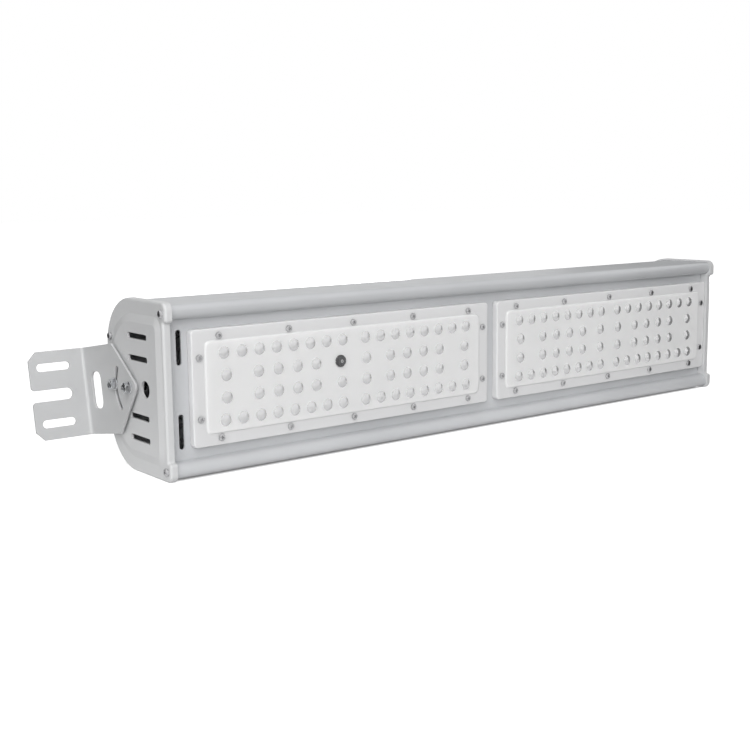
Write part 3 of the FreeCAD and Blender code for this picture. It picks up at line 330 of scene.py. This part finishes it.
def block(middle, size, turn=(0, 0, 0)):
    """A new block to start from."""
    clear_selection()
    bpy.ops.mesh.primitive_cube_add(size=1, location=middle, rotation=turn, scale=size)
    settle()
    return bpy.context.object


def bar(sides, radius, low, high, turn=(0, 0, 0)):
    """A new bar to start from, round or with few sides, between two heights."""
    clear_selection()
    bpy.ops.mesh.primitive_cylinder_add(vertices=sides, radius=radius, depth=high - low,
                                        location=(0, 0, (low + high) / 2), rotation=turn)
    settle()
    return bpy.context.object


def pick(part, test):
    """Selects the faces, edges or verts of the mesh being edited that pass the test, and no others."""
    kind = {"faces": "FACE", "edges": "EDGE", "verts": "VERT"}[part]
    bpy.ops.mesh.select_mode(type=kind)
    bpy.ops.mesh.select_all(action="DESELECT")
    mesh = bpy.context.object.data
    shape = bmesh.from_edit_mesh(mesh)
    for item in getattr(shape, part):
        item.select_set(bool(test(item)))
    bmesh.update_edit_mesh(mesh)


def pick_facing(outward):
    """Selects the faces that point that way."""
    pick("faces", lambda face: face.normal.dot(outward) > squarely)


def extrude(along):
    """Draws the selected faces out by that much."""
    bpy.ops.mesh.extrude_region_move(TRANSFORM_OT_translate={"value": along})


def bevel(width, segments):
    """Rounds the selected edges, or chamfers them where there is one segment."""
    bpy.ops.mesh.bevel(offset=width, segments=segments, affect="EDGES")


def inset_within(side_margin, end_margin, middle, half_length):
    """Insets the selected face by one margin along its sides and another at its ends."""
    bpy.ops.mesh.inset(thickness=side_margin)
    longer = (half_length - end_margin) / (half_length - side_margin)
    bpy.ops.transform.resize(value=(longer, 1, 1), center_override=middle)


def join_copies(name, shape, places):
    """Joins a copy of the shape at each place to one object, with the place in its mesh."""
    clear_selection()
    for place in places:
        copy = bpy.data.objects.new(name, shape.data.copy())
        bpy.context.scene.collection.objects.link(copy)
        copy.matrix_world = place
        copy.select_set(True)
        bpy.context.view_layer.objects.active = copy
    if len(places) > 1:
        bpy.ops.object.join()
    settle()
    joined = bpy.context.object
    joined.name = name
    return joined


def combine(piece, tool, how):
    """Joins the tool to the piece, cuts it out of it or keeps what they share; the tool is used up."""
    modifier = piece.modifiers.new("combine", "BOOLEAN")
    modifier.operation = how
    modifier.solver = "EXACT"
    modifier.object = tool
    take(piece)
    bpy.ops.object.modifier_apply(modifier=modifier.name)
    bpy.data.objects.remove(tool)


def smooth(piece, degrees):
    """Shades a piece smooth, apart from edges that are sharper than that angle."""
    take(piece)
    bpy.ops.object.shade_smooth_by_angle(angle=math.radians(degrees))


def flatten_shading(piece):
    """Gives the flat faces of a smooth piece their true normals, so that only its edges shade round."""
    flats = piece.modifiers.new("true_flats", "WEIGHTED_NORMAL")
    flats.keep_sharp = True
    bpy.ops.object.modifier_apply(modifier=flats.name)


def seat(piece, body, slot, *nodes):
    """Ties a finished piece to its body and hides the solids that it stands for; the slot is not used."""
    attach(piece, body)
    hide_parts(*nodes)


def milky(material, depth):
    """Lets light spread under the surface, as far as the depth."""
    shader = shader_of(material)
    shader.inputs["Subsurface Weight"].default_value = 1.0
    shader.inputs["Subsurface Radius"].default_value = (1, 1, 1)
    shader.inputs["Subsurface Scale"].default_value = depth


def frosted_plate(name, low, high):
    """Milky polycarbonate: white over the board, and greyer on the flange, partly where the web shows
    through and partly as painted shade.
    """
    material = new_finish(name, roughness=0.36, ior=polycarbonate_ior)
    tone(material, size=120 * mm, dark=(0.88, 0.88, 0.882), light=(0.905, 0.905, 0.905))
    gloss(material, size=25 * mm, shiny=0.32, dull=0.40)
    relief(material, size=0.5 * mm, height=0.02 * mm, strength=0.2)
    milky(material, depth=3 * mm)
    # Partly painted shade: the flange gets a grey tone, for the web showing through and for shade under the
    # rails and at the edges.
    margin = Vector((field_end_margin, 0, field_side_margin))
    flange_web_and_shade_share = outside(material, low + margin, high - margin, flange_reach, flange_weight)
    overlay(material, flange_web_and_shade_share, flange_web_and_shade_tone, under=False)
    return material


polished = new_finish("lens_polished", roughness=0.1, metallic=0.6, ior=polycarbonate_ior)
shader_of(polished).inputs["Coat Weight"].default_value = 1.0
shader_of(polished).inputs["Coat Roughness"].default_value = 0.05
milky(polished, depth=6 * mm)
tone(polished, size=30 * mm, dark=(0.66, 0.66, 0.665), light=(0.70, 0.70, 0.705))
relief(polished, size=3 * mm, height=0.02 * mm, strength=0.3)


def lens_dome(frosted):
    """One polished lens, the front of a ball, standing at the origin on a field that faces the front."""
    ball = (lens_foot ** 2 + lens_rise ** 2) / (2 * lens_rise)
    clear_selection()
    bpy.ops.mesh.primitive_uv_sphere_add(segments=lens_sides, ring_count=lens_sides, radius=ball,
                                         location=(0, ball - lens_rise, 0), rotation=laid_forward)
    settle()
    dome = bpy.context.object
    bpy.ops.object.mode_set(mode="EDIT")
    bpy.ops.mesh.select_all(action="SELECT")
    bpy.ops.mesh.bisect(plane_co=(0, lens_sunk, 0), plane_no=to_back, use_fill=True, clear_outer=True)
    bpy.ops.object.mode_set(mode="OBJECT")
    dome.data.materials.append(frosted)
    dome.data.materials.append(polished)
    for face in dome.data.polygons:
        face.material_index = 1
    return dome


def lens_places(plugged):
    """Lens centres as (along, up) from the middle of a plate."""
    for row, steps in ((outer_row, outer_places), (inner_row, inner_places)):
        for along in steps:
            for side in (-1, 1):
                for up in (-1, 1):
                    under_plug = row == inner_row and along == inner_first and side < 0 < up
                    if not (plugged and under_plug):
                        yield side * along, up * row


def screw_places():
    """Screw centres as (along, up) from the middle of a plate."""
    for up in (-1, 1):
        for step in screw_steps:
            yield step * screw_pitch, up * screw_row
        for side in (-1, 1):
            yield side * screw_side, up * screw_pair


def lens_plate(name, node, plugged):
    """One finished plate with its lenses, in place of its solid."""
    low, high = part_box(node)
    middle = (low + high) / 2
    half_length = (high.x - low.x) / 2
    field_front = low.y + lens_rise
    flange_front = field_front + field_rise
    thick = high.y - flange_front
    plate = block((middle.x, (flange_front + high.y) / 2, middle.z),
                  (2 * half_length, thick, high.z - low.z))
    plate.name = name
    bpy.ops.object.mode_set(mode="EDIT")

    # The raised field, with a sloping edge
    pick_facing(to_front)
    inset_within(field_side_margin, field_end_margin, middle, half_length)
    bpy.ops.mesh.inset(thickness=field_rise, depth=field_rise)
    pick("edges", lambda edge: near(abs(edge.verts[0].co.y - edge.verts[1].co.y), field_rise))
    bevel(field_corner, segments=4)

    # The tray in the back
    pick_facing(to_back)
    inset_within(tray_side_margin, tray_end_margin, middle, half_length)
    extrude((0, -tray_depth, 0))

    # Rounded corners and edges
    pick("edges", lambda edge: near(edge.calc_length(), thick)
         and all(near(abs(vert.co.x - middle.x), half_length) for vert in edge.verts))
    bevel(plate_corner, segments=5)
    pick("edges", lambda edge: sharper(edge, degrees=60) and level(edge, "y", flange_front))
    bevel(plate_edge, segments=3)
    pick("edges", lambda edge: sharper(edge, degrees=30) and level(edge, "y", field_front))
    bevel(field_edge, segments=2)
    bpy.ops.object.mode_set(mode="OBJECT")
    frosted = frosted_plate(f"{name}_frosted", low, high)
    plate.data.materials.append(frosted)
    plate.data.materials.append(polished)

    # The lenses and the holes
    dome = lens_dome(frosted)
    spots = [Matrix.Translation((middle.x + along, field_front, middle.z + up))
             for along, up in lens_places(plugged)]
    combine(plate, join_copies("lenses", dome, spots), "UNION")
    bpy.data.objects.remove(dome)
    holes = [(along, up, screw_hole) for along, up in screw_places()]
    if plugged:
        holes.append((plug_out, inner_row, plug_hole))
    drill = bar(hole_sides, radius=1, low=-hole_reach / 2, high=hole_reach / 2, turn=laid_forward)
    spots = []
    for along, up, wide in holes:
        place = Matrix.Translation((middle.x + along, middle.y, middle.z + up))
        spots.append(place @ Matrix.Diagonal((wide, 1, wide, 1)))
    combine(plate, join_copies("holes", drill, spots), "DIFFERENCE")
    bpy.data.objects.remove(drill)
    smooth(plate, degrees=32)
    flatten_shading(plate)
    seat(plate, "light", "lens_plastic", node)


lens_plate("left_lens_panel", "left_lens_plate", plugged=True)
lens_plate("right_lens_panel", "right_lens_plate", plugged=False)


# Vent plug: a black moulded breather pressed into the left plate, which lets the module level its pressure.
# It has a round flange with grip notches in its edge, and a stepped cap, in whose dished top a boss of grey
# felt stands round the vent.
plug_low, plug_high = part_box("breather_plug")
plug_sides = 32
plug_flange = (plug_high.x - plug_low.x) / 2
plug_flange_rise = 1.2 * mm
plug_cap = 3.4 * mm
plug_dish = 2.3 * mm
plug_dish_depth = 0.5 * mm
plug_edge = 0.35 * mm
plug_boss = 1.3 * mm
plug_boss_rise = 0.35 * mm
plug_vent = 0.55 * mm
plug_vent_depth = 2 * plug_boss_rise
plug_stem = 2.9 * mm
plug_stem_length = 3.0 * mm
plug_rise = plug_high.y - plug_low.y - plug_stem_length
plug_middle = (plug_low + plug_high) / 2
plug_seat = Vector((plug_middle.x, plug_low.y + plug_rise, plug_middle.z))
plug_notches = 8
notch_size = (1.0 * mm, 0.7 * mm, 6.0 * mm)
notch_height = 2.0 * mm
upward = Vector((0, 0, 1))
downward = Vector((0, 0, -1))


def facing(place, outward, turn=0.0):
    """Where a shape drawn along +Z goes to stand at the place and point outward."""
    aim = outward.to_track_quat("Z", "Y").to_matrix().to_4x4()
    return Matrix.Translation(place) @ aim @ Matrix.Rotation(turn, 4, "Z")


plug = bar(plug_sides, plug_flange, 0, plug_flange_rise)
plug.name = "vent_plug"
bpy.ops.object.mode_set(mode="EDIT")
pick_facing(downward)
bpy.ops.mesh.inset(thickness=plug_flange - plug_stem)
extrude((0, 0, -plug_stem_length))
pick_facing(upward)
bpy.ops.mesh.inset(thickness=plug_flange - plug_cap)
extrude((0, 0, plug_rise - plug_flange_rise))
bpy.ops.mesh.inset(thickness=plug_cap - plug_dish)
bpy.ops.mesh.inset(thickness=plug_dish_depth, depth=-plug_dish_depth)
bpy.ops.mesh.inset(thickness=plug_dish - plug_dish_depth - plug_boss)
extrude((0, 0, plug_boss_rise))
bpy.ops.mesh.inset(thickness=plug_boss - plug_vent)
extrude((0, 0, -plug_vent_depth))
pick("edges", lambda edge: sharper(edge, degrees=60) and edge.is_convex
     and min(vert.co.z for vert in edge.verts) > plug_flange_rise / 2)
bevel(plug_edge, segments=3)
bpy.ops.object.mode_set(mode="OBJECT")

notch = block((0, 0, 0), notch_size)
spots = []
for number in range(plug_notches):
    turn = Matrix.Rotation(2 * math.pi * number / plug_notches, 4, "Z")
    spots.append(turn @ Matrix.Translation((plug_flange, 0, notch_height)))
combine(plug, join_copies("notches", notch, spots), "DIFFERENCE")
bpy.data.objects.remove(notch)

felt_inner = 0.9 * plug_vent
felt_outer = 1.05 * plug_boss
felt_bottom = plug_rise - plug_dish_depth + plug_boss_rise / 2
for face in plug.data.polygons:
    in_felt = felt_inner < face.center.xy.length < felt_outer and face.center.z > felt_bottom
    face.material_index = 1 if in_felt else 0
plug.matrix_world = facing(plug_seat, to_front)
settle()
smooth(plug, degrees=35)
plug_black = new_finish("plug_black", roughness=0.32)
tone(plug_black, size=2 * mm, dark=(0.07, 0.07, 0.072), light=(0.11, 0.11, 0.113))
relief(plug_black, size=0.3 * mm, height=0.02 * mm, strength=0.4)
plug_felt = new_finish("plug_felt", roughness=0.7)
tone(plug_felt, size=0.5 * mm, dark=(0.48, 0.48, 0.49), light=(0.60, 0.60, 0.61))
relief(plug_felt, size=0.15 * mm, height=0.03 * mm, strength=0.5)
plug.data.materials.append(plug_black)
plug.data.materials.append(plug_felt)
seat(plug, "light", "plug_dark", "breather_plug")


# Lens screws: fourteen stainless pan-head screws hold each lens plate and its seal down on the web.
# They are cold headed with a cross recess, and are driven to no particular turn.
turn_step = math.radians(67)
screw_sides = 24
head_round_part = 0.62
tip_taper = 0.7
wing_width_part = 0.3
wing_reach_part = 0.62
recess_part = 0.75
recess_taper = 0.6


def pan_screw(head, rise, shank, length):
    """A pan-head screw with a cross recess, drawn along +Z with the underside of its head at the origin."""
    screw = bar(screw_sides, head, 0, rise)
    bpy.ops.object.mode_set(mode="EDIT")
    pick_facing(downward)
    bpy.ops.mesh.inset(thickness=head - shank)
    extrude((0, 0, -length))
    bpy.ops.transform.resize(value=(tip_taper, tip_taper, 1), center_override=(0, 0, -length))
    pick("edges", lambda edge: level(edge, "z", rise))
    bevel(head_round_part * rise, segments=4)
    bpy.ops.object.mode_set(mode="OBJECT")
    wing_size = (2 * wing_reach_part * head, wing_width_part * head, 2 * recess_part * rise)
    for turn in (0, math.pi / 2):
        wing = block((0, 0, rise), wing_size, turn=(0, 0, turn))
        bpy.ops.object.mode_set(mode="EDIT")
        pick_facing(downward)
        bpy.ops.transform.resize(value=(recess_taper, recess_taper, 1), center_override=(0, 0, 0))
        bpy.ops.object.mode_set(mode="OBJECT")
        combine(screw, wing, "DIFFERENCE")
    return screw


def drive(name, screw, spots, node):
    """Puts a copy of the screw at each of its places on the light."""
    screws = join_copies(name, screw, spots)
    screws.data.materials.append(screw_steel)
    smooth(screws, degrees=35)
    seat(screws, "light", "screw_steel", node)


lens_screw_head = 2.6 * mm
lens_screw_rise = 1.3 * mm
lens_screw = pan_screw(lens_screw_head, lens_screw_rise, shank=1.45 * mm, length=9.0 * mm)
for side in ("left", "right"):
    low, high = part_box(f"{side}_lens_screws")
    middle = (low + high) / 2
    under_head = low.y + lens_screw_rise
    spots = []
    for number, (along, up) in enumerate(screw_places()):
        place = (middle.x + along, under_head, middle.z + up)
        spots.append(facing(place, to_front, number * turn_step))
    drive(f"{side}_panel_screws", lens_screw, spots, f"{side}_lens_screws")
bpy.data.objects.remove(lens_screw)


# End caps: two pressure die-cast aluminium covers with a raised panel, four vent slots and a rim that laps
# over the housing; the left one has the cable hole. They have the same silver coat, a little rougher on the
# casting, but in a lighter copy than the housing's, which paints light on the ends.
# Painted light: the caps' copy of the silver coat is lighter than the housing's.
cap_paint = silver_coat("cap_paint", dark=(0.65, 0.655, 0.66), light=(0.70, 0.705, 0.71))
relief(cap_paint, size=4 * mm, height=0.05 * mm, strength=0.15)
dress(cap_paint, "left_end_cap", "right_end_cap")


# Cap screws: four longer pan-head screws go through each cap into the ports of the extrusion.
# They are of the same steel as the lens screws and have the same cross recess, in a taller head.
cap_screw_head = 2.9 * mm
cap_screw_rise = 2.1 * mm
rear_port_half = 33.3 * mm
cap_screw = pan_screw(cap_screw_head, cap_screw_rise, shank=1.5 * mm, length=16.0 * mm)
for side, sign in (("left", -1), ("right", 1)):
    low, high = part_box(f"{side}_cap_screws")
    middle = (low + high) / 2
    outer_end = high.x if sign > 0 else low.x
    under_head = outer_end - sign * cap_screw_rise
    front_half = (high.z - low.z) / 2 - cap_screw_head
    spots = []
    for back, half in ((low.y + cap_screw_head, front_half), (high.y - cap_screw_head, rear_port_half)):
        for up in (-1, 1):
            place = (under_head, back, middle.z + up * half)
            spots.append(facing(place, Vector((sign, 0, 0)), len(spots) * turn_step))
    drive(f"{side}_end_screws", cap_screw, spots, f"{side}_cap_screws")
bpy.data.objects.remove(cap_screw)


# Brackets: each is one laser-cut steel sheet with an arm that turns on the cap and a plate bent outwards.
# The burr is tumbled off, which leaves a small round along every edge, and then it gets the silver coat, in
# a darker copy than the housing's, which paints shade on the brackets.
tumbled_edge = 0.45 * mm
merge_reach = 0.001 * mm
flat_within = math.radians(1)
rounded_from = math.radians(50)
# Painted shade: the brackets' copy of the silver coat is darker than the housing's.
bracket_paint = silver_coat("bracket_paint", dark=(0.545, 0.55, 0.555), light=(0.595, 0.60, 0.605))
for side in ("left", "right"):
    node = f"{side}_bracket"
    bracket = bpy.data.objects.new(f"{side}_mounting_bracket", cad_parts[node].data.copy())
    bpy.context.scene.collection.objects.link(bracket)
    take(bracket)
    bpy.ops.mesh.customdata_custom_splitnormals_clear()
    bpy.ops.object.mode_set(mode="EDIT")
    bpy.ops.mesh.select_all(action="SELECT")
    bpy.ops.mesh.remove_doubles(threshold=merge_reach)
    bpy.ops.mesh.dissolve_limited(angle_limit=flat_within)
    bpy.ops.object.mode_set(mode="OBJECT")
    rounding = bracket.modifiers.new("tumbled_edge", "BEVEL")
    rounding.width = tumbled_edge
    rounding.segments = 2
    rounding.limit_method = "ANGLE"
    rounding.angle_limit = rounded_from
    rounding.use_clamp_overlap = False
    bpy.ops.object.modifier_apply(modifier=rounding.name)
    bracket.data.materials.clear()
    bracket.data.materials.append(bracket_paint)
    smooth(bracket, degrees=40)
    flatten_shading(bracket)
    seat(bracket, node, "bracket_paint", node)


# Bracket hardware: on each bolt a spacer keeps the arm off the cap, and a flat washer and a split spring
# washer go under the hexagon head; the bolt runs into a nut clinched into the cap. The spring washers are
# plain steel, and the rest is bright zinc plate.
bolt_corner = 4.0 * mm
bolt_rise = 2.8 * mm
bolt_shank = 2.0 * mm
bolt_length = 15.0 * mm
head_chamfer_part = 0.18
tip_chamfer_part = 0.25
hex_sides = 6
turned_sides = 48
shank_sides = 24
ring_sides = 40
washer_edge = 0.2 * mm
washer_inner = 2.15 * mm
gap_width = 0.8 * mm
gap_slant = math.radians(25)
gap_turn = 1.0


def washer(outer, inner, thick, eased):
    """A plain ring with eased edges, drawn along +Z from the origin."""
    ring = bar(ring_sides, outer, 0, thick)
    bpy.ops.object.mode_set(mode="EDIT")
    pick("faces", lambda face: abs(face.normal.z) > squarely)
    bpy.ops.mesh.inset(thickness=outer - inner)
    bpy.ops.mesh.bridge_edge_loops()
    pick("edges", lambda edge: sharper(edge, degrees=60))
    bevel(eased, segments=2)
    bpy.ops.object.mode_set(mode="OBJECT")
    return ring


def hex_bolt(corner, rise, shank, length):
    """A hexagon bolt drawn along +Z with the underside of its head at the origin."""
    head = bar(hex_sides, corner, 0, rise)
    turned = bar(turned_sides, corner, 0, rise)
    bpy.ops.object.mode_set(mode="EDIT")
    pick("edges", lambda edge: level(edge, "z", rise))
    bevel(head_chamfer_part * corner, segments=2)
    bpy.ops.object.mode_set(mode="OBJECT")
    combine(head, turned, "INTERSECT")
    rod = bar(shank_sides, shank, -length, rise / 2)
    bpy.ops.object.mode_set(mode="EDIT")
    pick("edges", lambda edge: level(edge, "z", -length))
    bevel(tip_chamfer_part * shank, segments=1)
    bpy.ops.object.mode_set(mode="OBJECT")
    combine(head, rod, "UNION")
    return head


zinc = new_finish("bright_zinc", roughness=0.3, metallic=1.0)
tone(zinc, size=4 * mm, dark=(0.70, 0.72, 0.76), light=(0.86, 0.87, 0.86))
gloss(zinc, size=1.5 * mm, shiny=0.14, dull=0.3)
relief(zinc, size=0.3 * mm, height=0.01 * mm, strength=0.3)
spring_steel = new_finish("spring_steel", roughness=0.4, metallic=1.0)
tone(spring_steel, size=3 * mm, dark=(0.30, 0.30, 0.31), light=(0.44, 0.44, 0.45))
gloss(spring_steel, size=1.5 * mm, shiny=0.3, dull=0.5)

bolt = hex_bolt(bolt_corner, bolt_rise, bolt_shank, bolt_length)
for side, sign in (("left", -1), ("right", 1)):
    outward = Vector((sign, 0, 0))
    bolt_boxes = {stack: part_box(f"{side}_{stack}_bolt") for stack in ("pivot", "lock")}
    centres = {stack: (low + high) / 2 for stack, (low, high) in bolt_boxes.items()}
    for stack, (low, high) in bolt_boxes.items():
        outer_end = high.x if sign > 0 else low.x
        place = (outer_end - sign * bolt_rise, centres[stack].y, centres[stack].z)
        piece = join_copies(f"{side}_{stack}_hex_bolt", bolt, [facing(place, outward)])
        piece.data.materials.append(zinc)
        smooth(piece, degrees=30)
        seat(piece, "light", "hardware_zinc", f"{side}_{stack}_bolt")

    for word, node, material, slot in (
            ("plain_washers", "flat_washers", zinc, "hardware_zinc"),
            ("split_washers", "spring_washers", spring_steel, "spring_steel"),
            ("arm_spacers", "spacers", zinc, "hardware_zinc")):
        low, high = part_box(f"{side}_{node}")
        thick = high.x - low.x
        outer = (high.z - low.z) / 2
        ring = washer(outer, washer_inner, thick, washer_edge)
        if word == "split_washers":
            gap = block((outer, 0, thick / 2), (2 * outer, gap_width, 3 * thick), turn=(gap_slant, 0, 0))
            combine(ring, gap, "DIFFERENCE")
        inner_end = low.x if sign > 0 else high.x
        spots = []
        for number, centre in enumerate(centres.values(), start=1):
            spots.append(facing((inner_end, centre.y, centre.z), outward, number * gap_turn))
        piece = join_copies(f"{side}_{word}", ring, spots)
        bpy.data.objects.remove(ring)
        piece.data.materials.append(material)
        smooth(piece, degrees=30)
        seat(piece, "light", slot, f"{side}_{node}")
    dress(zinc, f"{side}_clinch_nuts")
bpy.data.objects.remove(bolt)


# Room and floor: a plain white paper sweep in a white room, both white where they are seen straight on or
# in a gloss, while they light the object at a plain level. Close under the housing the floor loses its
# lift, which paints a contact shadow there over the real one.
white = (1, 1, 1, 1)
room_light = 0.24
floor_size = 12.0
floor_colour = (0.6, 0.6, 0.6, 1)
floor_mirrored = 0.45
floor_lift = 0.9
contact_shadow_lift = 0.1
contact_shadow_reach = Vector((10.0, 10.0, 10.0)) * mm


def seen_directly(tree, mirrored):
    """1 for a ray from the eye, the mirrored share for one by way of a gloss or glass, and 0 otherwise."""
    path = tree.nodes.new("ShaderNodeLightPath")
    total = path.outputs["Is Camera Ray"]
    for word in ("Is Glossy Ray", "Is Transmission Ray"):
        add = tree.nodes.new("ShaderNodeMath")
        add.operation = "MULTIPLY_ADD"
        add.use_clamp = True
        add.inputs[1].default_value = mirrored
        tree.links.new(path.outputs[word], add.inputs[0])
        tree.links.new(total, add.inputs[2])
        total = add.outputs["Value"]
    return total


world = bpy.data.worlds.new("white_room")
bpy.context.scene.world = world
world.use_nodes = True
world_tree = world.node_tree
room = world_tree.nodes["Background"]
room.inputs["Color"].default_value = white
room.inputs["Strength"].default_value = room_light
backdrop = world_tree.nodes.new("ShaderNodeBackground")
backdrop.inputs["Color"].default_value = white
backdrop.inputs["Strength"].default_value = 1.0
choice = world_tree.nodes.new("ShaderNodeMixShader")
world_tree.links.new(seen_directly(world_tree, mirrored=1.0), choice.inputs["Fac"])
world_tree.links.new(room.outputs["Background"], choice.inputs[1])
world_tree.links.new(backdrop.outputs["Background"], choice.inputs[2])
world_tree.links.new(choice.outputs["Shader"], world_tree.nodes["World Output"].inputs["Surface"])

clear_selection()
bpy.ops.mesh.primitive_plane_add(size=floor_size)
floor = bpy.context.object
floor.name = "floor"
floor_paper = new_finish("floor_paper", roughness=0.9)
floor_tree = floor_paper.node_tree
paper = shader_of(floor_paper)
paper.inputs["Base Color"].default_value = floor_colour
paper.inputs["Specular IOR Level"].default_value = 0.0
paper.inputs["Emission Color"].default_value = white
foot_low, foot_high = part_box("housing")
# Painted shadow: under the housing's footprint the lift falls to the contact level.
fade = floor_tree.nodes.new("ShaderNodeMapRange")
fade.inputs["To Min"].default_value = contact_shadow_lift
fade.inputs["To Max"].default_value = floor_lift
lift = floor_tree.nodes.new("ShaderNodeMath")
lift.operation = "MULTIPLY"
away = outside(floor_paper, foot_low, foot_high, contact_shadow_reach, weight=(1, 1, 0))
floor_tree.links.new(away, fade.inputs["Value"])
floor_tree.links.new(seen_directly(floor_tree, floor_mirrored), lift.inputs[0])
floor_tree.links.new(fade.outputs["Result"], lift.inputs[1])
floor_tree.links.new(lift.outputs["Value"], paper.inputs["Emission Strength"])
floor.data.materials.append(floor_paper)


# Black cards: thin painted boards that stand and lie round the light, as a product photographer uses them.
# They are only in what glossy surfaces reflect, so that bright metal keeps its dark faces in a white room.
card_black = (0.02, 0.02, 0.022, 1)
card_corners = {
    "front_right_card": ((0.33, -0.18, 0.0), (0.331, -0.065, 0.16)),
    "front_right_foot": ((0.29, -0.18, 0.001), (0.33, -0.065, 0.002)),
    "rear_right_card": ((0.75, 0.10, 0.0), (0.751, 0.55, 0.36)),
    "rear_left_card": ((-1.0, 0.42, 0.0), (-0.3, 0.421, 0.5)),
    "rear_left_foot": ((-0.85, 0.12, 0.001), (-0.38, 0.42, 0.002)),
}
black_card = new_finish("black_card", roughness=1.0)
shader_of(black_card).inputs["Base Color"].default_value = card_black
shader_of(black_card).inputs["Specular IOR Level"].default_value = 0.0
for name, corners in card_corners.items():
    low, high = (Vector(corner) for corner in corners)
    card = block((low + high) / 2, high - low)
    card.name = name
    card.data.materials.append(black_card)
    card.visible_camera = False
    card.visible_diffuse = False
    card.visible_shadow = False
    card.visible_transmission = False


# Lights: a broad soft key from beside the camera, a low soft fill under it, and a low strip behind, for the
# back and the right end. They are softboxes, and no gloss shows them as a spot.
def soft_panel(name, place, aim, size, power):
    """A softbox of that width and height."""
    data = bpy.data.lights.new(name, "AREA")
    data.energy = power
    data.shape = "RECTANGLE"
    data.size, data.size_y = size
    panel = bpy.data.objects.new(name, data)
    bpy.context.scene.collection.objects.link(panel)
    panel.location = place
    panel.rotation_mode = "QUATERNION"
    panel.rotation_quaternion = (aim - place).to_track_quat("-Z", "Y")
    panel.visible_glossy = False


front_aim = Vector((-0.1, 0.0, 0.06))
rear_aim = Vector((0.0, 0.0, 0.062))
key_place = Vector((-2.10, -2.35, 2.05))
fill_place = Vector((-1.5, -2.0, 0.35))
strip_place = Vector((1.0, 1.2, 0.062))
soft_panel("key", key_place, front_aim, size=(3.2, 3.2), power=102.0)
soft_panel("low_fill", fill_place, front_aim, size=(1.4, 1.4), power=16.5)
soft_panel("rear_strip", strip_place, rear_aim, size=(1.6, 0.11), power=11.0)


# Camera: at the height of a table, looking along the light from its left end.
# Its place, its turn and its focal length in pixels were fitted to points of the photograph.
image_width = 750
focal_pixels = 1196.2
sensor = 36.0
azimuth = math.radians(-38.01)
elevation = math.radians(9.072)
roll = math.radians(-0.617)
distance = 0.9429
target = Vector((-119.15, -56.8, 57.21)) * mm
back = Vector((math.sin(azimuth) * math.cos(elevation), -math.cos(azimuth) * math.cos(elevation),
               math.sin(elevation)))
level_right = (-back).cross(upward).normalized()
level_up = level_right.cross(-back)
right = level_right * math.cos(roll) + level_up * math.sin(roll)
up = level_up * math.cos(roll) - level_right * math.sin(roll)
camera_data = bpy.data.cameras.new("camera")
camera_data.sensor_width = sensor
camera_data.lens = focal_pixels / image_width * sensor
camera = bpy.data.objects.new("camera", camera_data)
bpy.context.scene.collection.objects.link(camera)
pose = Matrix((right, up, back)).transposed().to_4x4()
pose.translation = target + back * distance
camera.matrix_world = pose
bpy.context.scene.camera = camera
bpy.context.scene.view_settings.view_transform = "Standard"
